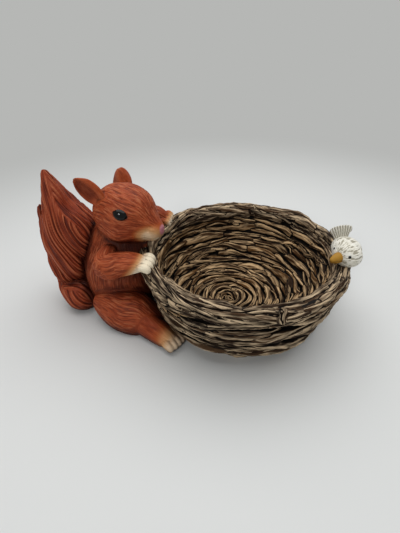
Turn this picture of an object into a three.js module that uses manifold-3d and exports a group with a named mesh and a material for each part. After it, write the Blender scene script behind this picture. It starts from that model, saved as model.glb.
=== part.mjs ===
// A squirrel that hugs a round dish shaped like a twig nest, with a small bird on the far rim.
// The figure is cast in pieces that are pegged and glued together: the nest and its rim wreath,
// the squirrel's torso, head, ears, arms, hind legs and tail, and the bird with its tail and beak.
// Millimetres, +Z up. The origin is the middle of the nest's flat foot, on the table.
// The squirrel sits at -X and looks along +X. Its right side is at -Y.

import * as THREE from "three";
import { mergeVertices } from "three/addons/utils/BufferGeometryUtils.js";
import Module from "manifold-3d";

const wasm = await Module();
wasm.setup();

// Driving dimensions: joints
const GLUE_GAP = 0.3; // left open between two castings for the glue
const PEG_RADIUS = 3; // locating peg on the head, tail, arms and legs
const PEG_LENGTH = 9; // how far a locating peg reaches into the torso
const SPIGOT_RADIUS = 1.1; // finer peg on the ears and on the bird's tail and beak
const SPIGOT_LENGTH = 3.5;
const PIN_RADIUS = 0.8; // steel wire between the bird and the rim
const PIN_LENGTH = 9;
const SLIVER_VOLUME = 1e-3; // cubic millimetres, less than any casting

// Driving dimensions: nest
const RIM_RADIUS = 60.5; // axis of the nest to the middle of the rim wreath
const RIM_HEIGHT = 45; // table to the middle of the rim wreath
const RIM_WIDTH = 11; // the wreath's section, across
const RIM_DEPTH = 10; // the wreath's section, up and down
const RIM_STRANDS = 3; // bundles of twigs that the wreath is twisted from
const RIM_TWISTS = 4; // turns of each bundle round the wreath's middle line
const STRAND_BULGE = 0.7; // how far a bundle stands out of the wreath
const FOOT_RADIUS = 43;
const BELLY_RADIUS = 55.5; // outside of the bowl where it is round and low
const BELLY_HEIGHT = 17;
const FLOOR_THICKNESS = 10;
const LIP_THICKNESS = 5; // wall of the bowl under the wreath, inwards of the wreath's middle
const HOLLOW_DRIFT = 9; // the deepest point lies this far from the axis, towards the squirrel
const HOLLOW_SIDE = 4; // and this far towards the squirrel's right
const COURSE_BULGE = 2.2; // how far each course of twigs stands out of the wall
const COURSE_WANDER = 0.22; // how far a course strays up and down on its way round, in courses
const INNER_COURSES = 17;
const INNER_CROWDING = 1.2; // above 1, the courses lie closer towards the middle of the floor
const OUTER_COURSES = 9;

// Driving dimensions: squirrel
const STAND_OFF = 20; // the rim's outer edge to the middle of the torso
const TORSO_HEIGHT = 66;
const TORSO_WIDTH = 49;
const TORSO_DEPTH = 52;
const HEAD_LENGTH = 46; // back of the skull to the nose
const HEAD_WIDTH = 37;
const HEAD_HEIGHT = 37;
const HEAD_FORWARD = 13; // middle of the skull, ahead of the torso's middle
const HEAD_RAISE = 4; // middle of the skull, above the top of the torso
const HEAD_SIDE = -4; // the head leans to the squirrel's right
const HEAD_YAW = -15; // degrees, and it looks that way too
const HEAD_PITCH = 7;
const HEAD_ROLL = -10; // degrees, the right ear is the higher one
const MUZZLE_WIDTH = 17;
const MUZZLE_HEIGHT = 15;
const CHEEK_WIDTH = 15;
const CHEEK_HEIGHT = 19;
const EYE_LENGTH = 7.6;
const EYE_HEIGHT = 6;
const EYE_PROUD = 1.4; // how far an eye bead stands out of its socket
const EAR_LENGTH = 17;
const RIGHT_EAR_WIDTH = 11.5;
const LEFT_EAR_WIDTH = 18;
const LEFT_EAR_FORWARD = 2.5; // the left ear stands this much further forward than the right one
const RIGHT_EAR_SWEEP = 49; // degrees back from upright
const LEFT_EAR_SWEEP = 60;
const EAR_SPREAD = 23.6; // degrees outwards
const EAR_THICKNESS = 5;
const ARM_THICKNESS = 15;
const PAW_WIDTH = 16.5;
const PAW_ANGLE = 28; // degrees round the rim from the squirrel's middle line
const LEFT_WRIST_RAISE = 3.5; // the left arm comes to the rim this much higher
const FINGER_LENGTH = 8;
const FINGER_THICKNESS = 4.6;
const DIGIT_PLACES = [-1.5, -0.5, 0.5, 1.5]; // across a paw or a foot, in digits from its middle
const HAUNCH_LENGTH = 53;
const HAUNCH_HEIGHT = 30;
const HAUNCH_WIDTH = 28;
const FOOT_LENGTH = 38; // hind foot, hock to toes
const FOOT_WIDTH = 15;
const FOOT_HEIGHT = 14;
const FOOT_SPLAY = 30; // degrees outwards
const TAIL_HEIGHT = 91; // table to the tip
const TAIL_REACH = 45; // middle of the torso to the hindmost lock
const TAIL_DEPTH = 27; // front to back, where it is fullest
const TAIL_WIDTH = 34; // side to side

// Driving dimensions: bird
const BIRD_ANGLE = -3; // degrees round the rim from +X
const BIRD_TURN = -65; // degrees, the way its breast points
const BIRD_GLANCE = -75; // degrees from there to where its beak points
const BIRD_LENGTH = 19; // breast to rump
const BIRD_WIDTH = 17;
const BIRD_HEIGHT = 13;
const BIRD_HEAD_WIDTH = 16;
const BEAK_LENGTH = 6; // in front of the head
const BEAK_WIDTH = 6.4;
const FAN_LENGTH = 6.8; // above the back
const FAN_WIDTH = 13.5;
const FAN_THICKNESS = 3;

const radians = THREE.MathUtils.degToRad;
const point = (x, y, z) => new THREE.Vector3(x, y, z);
const flat = (radius, height) => new THREE.Vector2(radius, height);
const sized = (shares, size) => shares.map((share) => share * size);

// Solids

/** A closed three.js geometry as a solid that can be joined and cut. */
function solidOf(geometry) {
  geometry.deleteAttribute("normal");
  geometry.deleteAttribute("uv");
  const merged = mergeVertices(geometry, 1e-4);
  return new wasm.Manifold(
    new wasm.Mesh({
      numProp: 3,
      vertProperties: merged.attributes.position.array,
      triVerts: new Uint32Array(merged.index.array),
    }),
  );
}

/** A smooth line through a row of values, read at a share from 0 to 1 of its length. */
function along(values, share) {
  const curve = new THREE.SplineCurve(values.map((value, i) => flat(i, value)));
  return curve.getPoint(share).y;
}

/**
 * A rounded form along a spine: a sphere whose poles are the spine's two ends.
 * wide and high are its full sizes at even steps along the spine. up is where its height points,
 * and blunt sets how full its ends are. grow adds that much all round, for a cutter.
 */
function swell(spine, wide, high, { blunt = 2.4, up = point(0, 0, 1), around = 16, rings = 14, grow = 0 }) {
  const curve = new THREE.CatmullRomCurve3(spine);
  const geometry = new THREE.SphereGeometry(1, around, rings);
  const position = geometry.attributes.position;
  for (let i = 0; i < position.count; i++) {
    const toPole = THREE.MathUtils.clamp(position.getY(i), -1, 1);
    const share = (1 - toPole) / 2;
    const tangent = curve.getTangent(share);
    const side = point(0, 0, 0).crossVectors(up, tangent).normalize();
    const lift = point(0, 0, 0).crossVectors(tangent, side);
    const atPole = Math.abs(toPole) > 1 - 1e-9;
    const fullness = atPole ? 0 : (1 - Math.abs(toPole) ** blunt) ** (1 / blunt);
    const margin = atPole ? 0 : grow;
    const angle = Math.atan2(position.getZ(i), position.getX(i));
    const across = (along(wide, share) / 2) * fullness + margin;
    const upwards = (along(high, share) / 2) * fullness + margin;
    const place = curve
      .getPoint(share)
      .addScaledVector(tangent, -grow * toPole)
      .addScaledVector(side, across * Math.cos(angle))
      .addScaledVector(lift, upwards * Math.sin(angle));
    position.setXYZ(i, place.x, place.y, place.z);
  }
  return solidOf(geometry);
}

/** A profile turned once round the Z axis. Each of its rows gives a radius and a height at an angle. */
function turned(rows) {
  const stepCount = 40;
  const geometry = new THREE.LatheGeometry(rows.map((row) => row(0)), stepCount);
  const position = geometry.attributes.position;
  for (let i = 0; i < position.count; i++) {
    const angle = (2 * Math.PI * Math.floor(i / rows.length)) / stepCount;
    const { x: radius, y: height } = rows[i % rows.length](angle);
    position.setXYZ(i, radius * Math.cos(angle), radius * Math.sin(angle), height);
  }
  return geometry;
}

/** A round peg from one point to another. grow makes it fatter and longer, as its socket. */
function peg(from, to, radius, grow = 0) {
  const axis = to.clone().sub(from);
  const way = axis.clone().normalize();
  const geometry = new THREE.CylinderGeometry(radius + grow, radius + grow, axis.length() + grow, 12);
  geometry.translate(0, (axis.length() + grow) / 2, 0);
  geometry.applyQuaternion(new THREE.Quaternion().setFromUnitVectors(point(0, 1, 0), way));
  geometry.translate(from.x, from.y, from.z);
  return solidOf(geometry);
}

/** All of the solids joined into one, without the empty slivers that faces in one plane can leave. */
function join(...solids) {
  const whole = solids.reduce((sum, next) => sum.add(next));
  return wasm.Manifold.compose(whole.decompose().filter((piece) => piece.volume() > SLIVER_VOLUME));
}

/** The first solid without the others, keeping its largest remaining piece. */
function cut(solid, ...others) {
  const left = others.reduce((rest, other) => rest.subtract(other), solid);
  return left.decompose().reduce((largest, next) => (next.volume() > largest.volume() ? next : largest));
}

/** A solid moved from an object's own frame into its parent's. */
function placed(solid, object) {
  object.updateMatrix();
  return solid.transform([...object.matrix.elements]);
}

/** A solid moved from the parent's frame into the object's own. */
function seenFrom(solid, object) {
  object.updateMatrix();
  return solid.transform([...object.matrix.clone().invert().elements]);
}

/** A named mesh of a solid, added to a group. */
function addMesh(group, name, solid, material) {
  const { vertProperties, triVerts } = solid.getMesh();
  const geometry = new THREE.BufferGeometry();
  geometry.setAttribute("position", new THREE.BufferAttribute(vertProperties, 3));
  geometry.setIndex(new THREE.BufferAttribute(triVerts, 1));
  geometry.computeVertexNormals();
  const mesh = new THREE.Mesh(geometry, material);
  mesh.name = name;
  group.add(mesh);
}

// Finishes

const paint = (color, roughness) => new THREE.MeshStandardMaterial({ color, roughness, metalness: 0 });
const russetPaint = paint(0x9c4326, 0.6);
const twigPaint = paint(0x6b5138, 0.75);
const rimPaint = paint(0x75604c, 0.75);
const birdPaint = paint(0xd9d6c8, 0.65);
const beakPaint = paint(0xd9991f, 0.5);
const eyeGloss = paint(0x0a0a0c, 0.08);
const steel = new THREE.MeshStandardMaterial({ color: 0x9a9a9a, roughness: 0.35, metalness: 1 });

// Groups

const rimTop = RIM_HEIGHT + RIM_DEPTH / 2;
const lipHeight = RIM_HEIGHT - RIM_DEPTH / 4;

const figure = new THREE.Group();
const squirrel = new THREE.Group();
squirrel.position.x = -(RIM_RADIUS + RIM_WIDTH / 2 + STAND_OFF);
const head = new THREE.Group();
head.position.set(HEAD_FORWARD, HEAD_SIDE, TORSO_HEIGHT + HEAD_RAISE);
head.rotation.set(radians(HEAD_ROLL), radians(HEAD_PITCH), radians(HEAD_YAW), "ZYX");
squirrel.add(head);
const bird = new THREE.Group();
bird.position.set(RIM_RADIUS, 0, rimTop).applyAxisAngle(point(0, 0, 1), radians(BIRD_ANGLE));
bird.rotation.z = radians(BIRD_TURN);
figure.add(squirrel, bird);

// Nest

/** Profile rows up a wall, which bulge at each course of twigs and stray a little on their way round. */
function courses(curve, count, bulge, { crowding = 1, grow = 0 }) {
  const stepCount = 3;
  return Array.from({ length: count * stepCount + 1 }, (_, i) => (angle) => {
    const course = i / stepCount;
    const stray = Math.sin(3 * angle + 1.7 * course) + 0.6 * Math.sin(5 * angle - 2.3 * course);
    const held = Math.min(1, (2 * course) / count, count - course);
    const share = ((course + COURSE_WANDER * held * stray) / count) ** crowding;
    const tangent = curve.getTangentAt(share);
    const swollen = grow + bulge * Math.abs(Math.sin(Math.PI * course));
    return curve.getPointAt(share).addScaledVector(flat(tangent.y, -tangent.x), swollen);
  });
}

/** The bowl's outside, filled up to the lip. grow makes it that much fatter, as a cutter. */
function bowlForm(grow = 0) {
  const wall = new THREE.SplineCurve([
    flat(FOOT_RADIUS, 0),
    flat(BELLY_RADIUS, BELLY_HEIGHT),
    flat(RIM_RADIUS, lipHeight),
  ]);
  const outside = courses(wall, OUTER_COURSES, COURSE_BULGE, { grow });
  return solidOf(turned([() => flat(0, 0), ...outside, () => flat(0, lipHeight)]));
}

/** What the bowl holds: a round hollow whose bottom drifts towards the squirrel. */
function hollowForm() {
  const mouth = RIM_RADIUS - LIP_THICKNESS;
  const depth = lipHeight - FLOOR_THICKNESS;
  const wall = new THREE.SplineCurve([
    flat(0, FLOOR_THICKNESS),
    flat(0.58 * mouth, FLOOR_THICKNESS + 0.14 * depth),
    flat(0.88 * mouth, FLOOR_THICKNESS + 0.5 * depth),
    flat(mouth, lipHeight),
  ]);
  const inside = courses(wall, INNER_COURSES, -COURSE_BULGE, { crowding: INNER_CROWDING });
  const geometry = turned([...inside, () => flat(mouth, rimTop), () => flat(0, rimTop)]);
  const position = geometry.attributes.position;
  for (let i = 0; i < position.count; i++) {
    const sunk = Math.max(0, lipHeight - position.getZ(i)) / depth;
    position.setX(i, position.getX(i) - HOLLOW_DRIFT * sunk);
    position.setY(i, position.getY(i) - HOLLOW_SIDE * sunk);
  }
  return solidOf(geometry);
}

/** The wreath round the lip, twisted from a few bundles. grow makes it fatter, as a cutter. */
function rimForm(grow = 0) {
  const cornerCount = 14;
  const section = Array.from({ length: cornerCount + 1 }, (_, i) => {
    const corner = (2 * Math.PI * (i % cornerCount)) / cornerCount;
    return () => flat(RIM_RADIUS + Math.cos(corner), RIM_HEIGHT + Math.sin(corner));
  });
  const geometry = turned(section);
  const position = geometry.attributes.position;
  for (let i = 0; i < position.count; i++) {
    const round = Math.atan2(position.getY(i), position.getX(i));
    const outwards = Math.hypot(position.getX(i), position.getY(i)) - RIM_RADIUS;
    const upwards = position.getZ(i) - RIM_HEIGHT;
    const twist = RIM_STRANDS * Math.atan2(upwards, outwards) + RIM_STRANDS * RIM_TWISTS * round;
    const extra = grow + STRAND_BULGE * (Math.cos(twist) - 1);
    const reach = RIM_RADIUS + (RIM_WIDTH / 2 + extra) * outwards;
    const height = RIM_HEIGHT + (RIM_DEPTH / 2 + extra) * upwards;
    position.setXYZ(i, reach * Math.cos(round), reach * Math.sin(round), height);
  }
  return solidOf(geometry);
}

const pinFoot = bird.position.clone().setZ(rimTop - PIN_LENGTH / 2);
const pinHead = bird.position.clone().setZ(rimTop + PIN_LENGTH / 2);
const pinHole = join(
  peg(pinFoot, pinHead, PIN_RADIUS, GLUE_GAP),
  peg(pinHead, pinFoot, PIN_RADIUS, GLUE_GAP),
);
const bowlCutter = bowlForm(GLUE_GAP);
const rimCutter = rimForm(GLUE_GAP);

addMesh(figure, "nest_bowl", cut(bowlForm(), hollowForm(), rimCutter), twigPaint);
addMesh(figure, "nest_rim", cut(rimForm(), pinHole), rimPaint);

// Squirrel

const sides = [
  {
    name: "right",
    side: -1,
    earWidth: RIGHT_EAR_WIDTH,
    earForward: 0,
    earSweep: RIGHT_EAR_SWEEP,
    wristRaise: 0,
  },
  {
    name: "left",
    side: 1,
    earWidth: LEFT_EAR_WIDTH,
    earForward: LEFT_EAR_FORWARD,
    earSweep: LEFT_EAR_SWEEP,
    wristRaise: LEFT_WRIST_RAISE,
  },
];
const shoulderHeight = 0.76 * TORSO_HEIGHT;
const hipHeight = 0.35 * HAUNCH_HEIGHT;
const tailRootHeight = 0.34 * TORSO_HEIGHT;

/** The torso, upright, from below the table to the neck. */
function torsoForm(grow = 0) {
  const lean = 0.2 * TORSO_DEPTH;
  const spine = [
    point(0.5 * lean, 0, -0.2 * TORSO_HEIGHT),
    point(0.45 * lean, 0, 0.2 * TORSO_HEIGHT),
    point(0.55 * lean, 0, 0.52 * TORSO_HEIGHT),
    point(0.7 * lean, 0, 0.8 * TORSO_HEIGHT),
    point(lean, 0, TORSO_HEIGHT),
  ];
  const wide = sized([0.8, 1, 0.94, 0.8, 0.66], TORSO_WIDTH);
  const deep = sized([0.82, 1, 0.94, 0.8, 0.66], TORSO_DEPTH);
  return swell(spine, wide, deep, { up: point(1, 0, 0), around: 18, rings: 14, grow });
}

/** The head in its own frame: +X towards the nose, the origin in the middle of the skull. */
function headForm(grow = 0) {
  const back = -0.44 * HEAD_LENGTH;
  const nose = HEAD_LENGTH + back;
  const chin = -0.14 * HEAD_HEIGHT;
  const skull = swell(
    [
      point(back, 0, 0.2 * chin),
      point(0.42 * back, 0, 0),
      point(0.16 * nose, 0, 0.1 * chin),
      point(0.6 * nose, 0, 0.5 * chin),
      point(nose, 0, 0.5 * chin),
    ],
    sized([0.9, 1, 0.96, 0.67, 0.36], HEAD_WIDTH),
    sized([0.9, 1, 0.98, 0.69, 0.34], HEAD_HEIGHT),
    { around: 20, rings: 16, grow },
  );
  const muzzle = swell(
    [point(0.3 * nose, 0, chin), point(0.7 * nose, 0, 0.85 * chin), point(nose, 0, 0.55 * chin)],
    sized([1, 1, 0.85], MUZZLE_WIDTH),
    sized([1, 1, 0.8], MUZZLE_HEIGHT),
    { around: 12, rings: 8, grow },
  );
  const cheeks = sides.map(({ side }) =>
    swell(
      [
        point(0.4 * back, side * 0.22 * HEAD_WIDTH, 0.7 * chin),
        point(0.1 * nose, side * 0.27 * HEAD_WIDTH, chin),
        point(0.6 * nose, side * 0.15 * HEAD_WIDTH, chin),
      ],
      sized([0.85, 1, 0.75], CHEEK_WIDTH),
      sized([0.9, 1, 0.75], CHEEK_HEIGHT),
      { around: 12, rings: 8, grow },
    ),
  );
  return join(skull, muzzle, ...cheeks);
}

/** One eye bead in the head's frame. */
function eyeForm(side, grow = 0) {
  const facing = point(0.28, side * 0.92, 0.26).normalize();
  const centre = point(0.11 * HEAD_LENGTH, side * 0.42 * HEAD_WIDTH, 0.13 * HEAD_HEIGHT);
  centre.addScaledVector(facing, EYE_PROUD - EYE_HEIGHT / 4);
  const lengthwise = point(1, 0, -0.12).addScaledVector(facing, -facing.x).normalize();
  const ends = [-0.5, 0, 0.5].map((share) => centre.clone().addScaledVector(lengthwise, share * EYE_LENGTH));
  const girth = sized([1, 1, 1], EYE_HEIGHT);
  return swell(ends, girth, girth, { blunt: 2, up: facing, around: 14, rings: 10, grow });
}

/** Where one ear stands on the skull, and the way it points. */
function earStand({ side, earForward, earSweep }) {
  const upright = Math.cos(radians(EAR_SPREAD));
  const back = -upright * Math.sin(radians(earSweep));
  const way = point(back, side * Math.sin(radians(EAR_SPREAD)), upright * Math.cos(radians(earSweep)));
  const root = point(earForward - 0.25 * HEAD_LENGTH, side * 0.38 * HEAD_WIDTH, 0.25 * HEAD_HEIGHT);
  return { root, way };
}

/** One ear in the head's frame, a leaf with a cup that opens outwards. */
function earForm(ear) {
  const { root, way } = earStand(ear);
  const face = point(0.1, ear.side * 0.95, 0.1).normalize();
  const upTo = (share, proud) =>
    root.clone().addScaledVector(way, share * EAR_LENGTH).addScaledVector(face, proud * EAR_THICKNESS);
  const leaf = swell(
    [upTo(-0.2, 0), upTo(0.3, -0.1), upTo(0.7, -0.1), upTo(1, 0.2)],
    sized([1.2, 1.1, 0.92, 0.5], ear.earWidth),
    sized([1, 1, 0.8, 0.5], EAR_THICKNESS),
    { up: face, around: 14, rings: 10 },
  );
  const cup = swell(
    [upTo(0.12, 0.42), upTo(0.4, 0.4), upTo(0.86, 0.5)],
    sized([0.5, 0.72, 0.4], ear.earWidth),
    sized([0.8, 1, 0.7], EAR_THICKNESS),
    { up: face, around: 12, rings: 8 },
  );
  return leaf.subtract(cup);
}

/** One ear's spigot in the head's frame, from inside the ear into the skull. */
function earSpigot(ear, grow = 0) {
  const { root, way } = earStand(ear);
  const inEar = root.clone().addScaledVector(way, 0.2 * EAR_LENGTH);
  return peg(inEar, root.clone().addScaledVector(way, -SPIGOT_LENGTH), SPIGOT_RADIUS, grow);
}

/** One arm in the squirrel's frame, from the shoulder to the fingers on the rim. */
function armForm({ side, wristRaise }) {
  const angle = radians(PAW_ANGLE);
  const paw = point(-squirrel.position.x - 0.2 * PAW_WIDTH, 0, rimTop + 0.1 * PAW_WIDTH);
  paw.add(point(-RIM_RADIUS * Math.cos(angle), side * RIM_RADIUS * Math.sin(angle), 0));
  const shoulder = point(0.1 * TORSO_DEPTH, side * 0.3 * TORSO_WIDTH, shoulderHeight + 0.13 * ARM_THICKNESS);
  const elbowHeight = (shoulderHeight + paw.z) / 2 - 0.3 * ARM_THICKNESS;
  const elbow = point(0.1 * TORSO_DEPTH, side * 0.56 * TORSO_WIDTH, elbowHeight);
  const wrist = elbow.clone().lerp(paw, 0.72).add(point(0, 0, wristRaise));
  const fingerEnd = point(0.25, 0, -0.12).multiplyScalar(FINGER_LENGTH);
  const limb = swell(
    [shoulder, elbow, elbow.clone().lerp(wrist, 0.5), wrist, paw.clone().add(fingerEnd)],
    sized([1.1, 1.12, 1.05, 0.95, 0.95], ARM_THICKNESS),
    sized([1.1, 1.12, 1, 0.88, 0.72], ARM_THICKNESS),
    { blunt: 3, around: 14, rings: 12 },
  );
  const fingers = DIGIT_PLACES.map((place) => {
    const setBack = (0.25 + 0.06 * Math.abs(place)) * FINGER_LENGTH;
    const knuckle = paw.clone().add(point(-setBack, (place * PAW_WIDTH) / DIGIT_PLACES.length, 0));
    const tip = knuckle.clone().add(point(0.95 * FINGER_LENGTH, 0, -0.4 * FINGER_LENGTH));
    const bend = knuckle.clone().lerp(tip, 0.5).add(point(0.1, 0, 0.16).multiplyScalar(FINGER_LENGTH));
    const girth = sized([1, 1.1, 0.9], FINGER_THICKNESS);
    return swell([knuckle, bend, tip], girth, girth, { blunt: 2.6, around: 8, rings: 5 });
  });
  return join(limb, ...fingers);
}

/** The peg of one arm in the squirrel's frame, across the shoulder. */
function armPeg(side, grow = 0) {
  const inArm = point(0.1 * TORSO_DEPTH, side * 0.52 * TORSO_WIDTH, shoulderHeight);
  const inTorso = point(inArm.x, side * (0.4 * TORSO_WIDTH - PEG_LENGTH), inArm.z);
  return peg(inArm, inTorso, PEG_RADIUS, grow);
}

/** One hind leg in the squirrel's frame: a folded haunch and a long foot on the table. */
function legForm(side, grow = 0) {
  const hip = point(0.21 * TORSO_DEPTH, side * 0.5 * TORSO_WIDTH, hipHeight);
  const thigh = point(HAUNCH_LENGTH, side * 0.3 * HAUNCH_WIDTH, -0.36 * HAUNCH_HEIGHT);
  const haunch = swell(
    [-0.38, -0.08, 0.2, 0.5].map((share) => hip.clone().addScaledVector(thigh, share)),
    sized([0.7, 0.96, 1, 0.92], HAUNCH_WIDTH),
    sized([0.7, 0.94, 1, 0.78], HAUNCH_HEIGHT),
    { around: 16, rings: 12, grow },
  );
  const forward = point(Math.cos(radians(FOOT_SPLAY)), side * Math.sin(radians(FOOT_SPLAY)), 0);
  const across = point(-forward.y, forward.x, 0);
  const hock = hip.clone().add(point(0.15 * HAUNCH_LENGTH, side * 0.1 * HAUNCH_WIDTH, 0));
  const upTo = (share, height) =>
    hock.clone().addScaledVector(forward, share * FOOT_LENGTH).setZ(height * FOOT_HEIGHT);
  const foot = swell(
    [upTo(0, 0.6), upTo(0.3, 0.5), upTo(0.65, 0.42), upTo(0.92, 0.36)],
    sized([1.05, 1.05, 1, 1], FOOT_WIDTH),
    sized([1.5, 1.25, 1, 0.8], FOOT_HEIGHT),
    { blunt: 3, around: 12, rings: 8, grow },
  );
  const digits = DIGIT_PLACES.map((place) => {
    const knuckle = upTo(0.8 - 0.012 * Math.abs(place), 0.42);
    knuckle.addScaledVector(across, (0.95 * place * FOOT_WIDTH) / DIGIT_PLACES.length);
    const tip = knuckle.clone().addScaledVector(forward, 0.2 * FOOT_LENGTH).setZ(0.2 * FOOT_HEIGHT);
    const bend = knuckle.clone().lerp(tip, 0.5).setZ(0.42 * FOOT_HEIGHT);
    const girth = sized([1.1, 1.15, 1], FINGER_THICKNESS);
    return swell([knuckle, bend, tip], girth, girth, { blunt: 2.6, around: 8, rings: 5, grow });
  });
  return join(haunch, foot, ...digits);
}

/** The peg of one hind leg in the squirrel's frame, across the hip. */
function legPeg(side, grow = 0) {
  const inLeg = point(0, side * 0.58 * TORSO_WIDTH, hipHeight);
  return peg(inLeg, point(0, side * (TORSO_WIDTH / 2 - PEG_LENGTH), hipHeight), PEG_RADIUS, grow);
}

/** The tail: a plume with overlapping locks that end in flicked tips along its back edge. */
function tailForm() {
  const back = -TORSO_DEPTH / 2;
  const place = (reach, side, height) =>
    point(back - reach * (TAIL_REACH + back), side * TAIL_WIDTH, height * TAIL_HEIGHT);
  const options = { up: point(1, 0, 0), around: 14, rings: 12 };
  const lock = (spine, wide, deep) => swell(spine, sized(wide, TAIL_WIDTH), sized(deep, TAIL_DEPTH), options);
  const plume = lock(
    [
      place(-0.2, 0, 0.08),
      place(0.1, 0, 0.32),
      place(0.24, 0, 0.6),
      place(0.38, 0, 0.82),
      place(0.56, 0, 1),
    ],
    [0.7, 1, 1, 0.75, 0.3],
    [0.7, 0.95, 0.9, 0.62, 0.3],
  );
  const crest = lock(
    [place(-0.47, 0, 0.34), place(-0.26, 0, 0.58), place(0.13, 0, 0.79), place(0.5, 0, 0.99)],
    [0.6, 0.95, 0.75, 0.3],
    [0.8, 0.9, 0.34, 0.15],
  );
  const upper = lock(
    [place(0, 0, 0.22), place(0.46, 0, 0.46), place(0.74, 0, 0.6), place(1, 0, 0.74)],
    [0.8, 0.9, 0.7, 0.3],
    [0.6, 0.7, 0.48, 0.16],
  );
  const middle = lock(
    [place(-0.1, 0, 0.09), place(0.34, 0, 0.27), place(0.62, -0.06, 0.4), place(0.86, -0.1, 0.53)],
    [0.8, 0.95, 0.75, 0.3],
    [0.6, 0.7, 0.5, 0.16],
  );
  const lower = lock(
    [place(-0.75, -0.3, 0.04), place(-0.2, -0.25, 0.08), place(0.36, -0.15, 0.16), place(0.74, -0.1, 0.29)],
    [0.95, 1.05, 0.75, 0.3],
    [0.7, 0.82, 0.52, 0.16],
  );
  return join(plume, crest, upper, middle, lower);
}

/** The tail's peg in the squirrel's frame, through the middle of the back. */
function tailPeg(grow = 0) {
  const inTail = point(-TORSO_DEPTH / 2 - PEG_LENGTH / 2, 0, tailRootHeight);
  return peg(inTail, point(-TORSO_DEPTH / 2 + PEG_LENGTH, 0, tailRootHeight), PEG_RADIUS, grow);
}

/** The head's peg in the squirrel's frame, down the neck. */
function headPeg(grow = 0) {
  const way = point(0, 0, 0.6 * TORSO_HEIGHT).sub(head.position).normalize();
  const inTorso = head.position.clone().addScaledVector(way, HEAD_HEIGHT / 2 + PEG_LENGTH);
  return peg(head.position, inTorso, PEG_RADIUS, grow);
}

const reachOfTable = 6 * RIM_RADIUS;
const underTable = solidOf(
  new THREE.BoxGeometry(reachOfTable, reachOfTable, reachOfTable).translate(0, 0, -reachOfTable / 2),
);
const bowlNear = seenFrom(bowlCutter, squirrel);
const rimNear = seenFrom(rimCutter, squirrel);
const torsoCutter = torsoForm(GLUE_GAP);
const headCutter = headForm(GLUE_GAP);
const headNear = placed(headCutter, head);
const legCutters = sides.map(({ side }) => legForm(side, GLUE_GAP));

const torsoSockets = [
  headPeg(GLUE_GAP),
  tailPeg(GLUE_GAP),
  ...sides.map(({ side }) => armPeg(side, GLUE_GAP)),
  ...sides.map(({ side }) => legPeg(side, GLUE_GAP)),
];
const torso = cut(torsoForm(), headNear, bowlNear, rimNear, underTable, ...torsoSockets);
addMesh(squirrel, "torso", torso, russetPaint);

const headSockets = sides.flatMap((ear) => [earSpigot(ear, GLUE_GAP), eyeForm(ear.side, GLUE_GAP)]);
const skull = cut(headForm(), seenFrom(rimNear, head), ...headSockets);
addMesh(head, "head", join(skull, seenFrom(headPeg(), head)), russetPaint);

for (const entry of sides) {
  const { name, side } = entry;
  const ear = cut(earForm(entry), headCutter);
  addMesh(head, `${name}_ear`, join(ear, earSpigot(entry)), russetPaint);
  addMesh(head, `${name}_eye`, eyeForm(side), eyeGloss);
  const arm = cut(armForm(entry), torsoCutter, headNear, rimNear, bowlNear);
  addMesh(squirrel, `${name}_arm`, join(arm, armPeg(side)), russetPaint);
  const leg = cut(legForm(side), torsoCutter, bowlNear, rimNear, underTable);
  addMesh(squirrel, `${name}_leg`, join(leg, legPeg(side)), russetPaint);
}

const tail = cut(tailForm(), torsoCutter, headNear, underTable, ...legCutters);
addMesh(squirrel, "tail", join(tail, tailPeg()), russetPaint);

// Bird

const birdHead = point(0.22 * BIRD_LENGTH, -0.1 * BIRD_WIDTH, 0.38 * BIRD_HEIGHT);
const beakWay = point(1, 0, -0.04).applyAxisAngle(point(0, 0, 1), radians(BIRD_GLANCE)).normalize();
const fanRoot = point(-0.36 * BIRD_LENGTH, 0, 0.82 * BIRD_HEIGHT);
const fanWay = point(-0.15, -0.12, 0.95).normalize();
const fanFace = point(0.85, -0.3, 0.35).normalize();

/** The bird's body with its head, in its own frame: +X towards the breast, the origin on the rim. */
function birdForm(grow = 0) {
  const options = { around: 14, rings: 10, grow };
  const shares = [0.8, 1, 1, 0.8];
  const body = swell(
    [-0.5, -0.15, 0.2, 0.5].map((share) => point(share * BIRD_LENGTH, 0, (0.42 - 0.1 * share) * BIRD_HEIGHT)),
    sized(shares, BIRD_WIDTH),
    sized(shares, BIRD_HEIGHT),
    options,
  );
  const crown = [-0.5, 0, 0.5].map((share) =>
    birdHead.clone().addScaledVector(beakWay, share * BIRD_HEAD_WIDTH),
  );
  const girth = sized([1, 1, 1], BIRD_HEAD_WIDTH);
  return join(body, swell(crown, girth, girth, { ...options, blunt: 2 }));
}

/** The beak, a blunt cone that starts inside the head. */
function beakForm() {
  const upTo = (reach) => birdHead.clone().addScaledVector(beakWay, BIRD_HEAD_WIDTH / 2 + reach);
  const spine = [upTo(-BEAK_LENGTH / 2), upTo(0), upTo(BEAK_LENGTH)];
  const girth = sized([1, 0.95, 0.5], BEAK_WIDTH);
  return swell(spine, girth, girth, { around: 12, rings: 8 });
}

/** The upright tail fan, which widens towards its top. */
function fanForm() {
  const upTo = (share) => fanRoot.clone().addScaledVector(fanWay, share * FAN_LENGTH);
  return swell(
    [upTo(-0.6), upTo(0.1), upTo(0.6), upTo(1)],
    sized([0.65, 0.75, 1, 1], FAN_WIDTH),
    sized([1, 1, 1, 0.7], FAN_THICKNESS),
    { blunt: 3.2, up: fanFace, around: 14, rings: 10 },
  );
}

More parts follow.
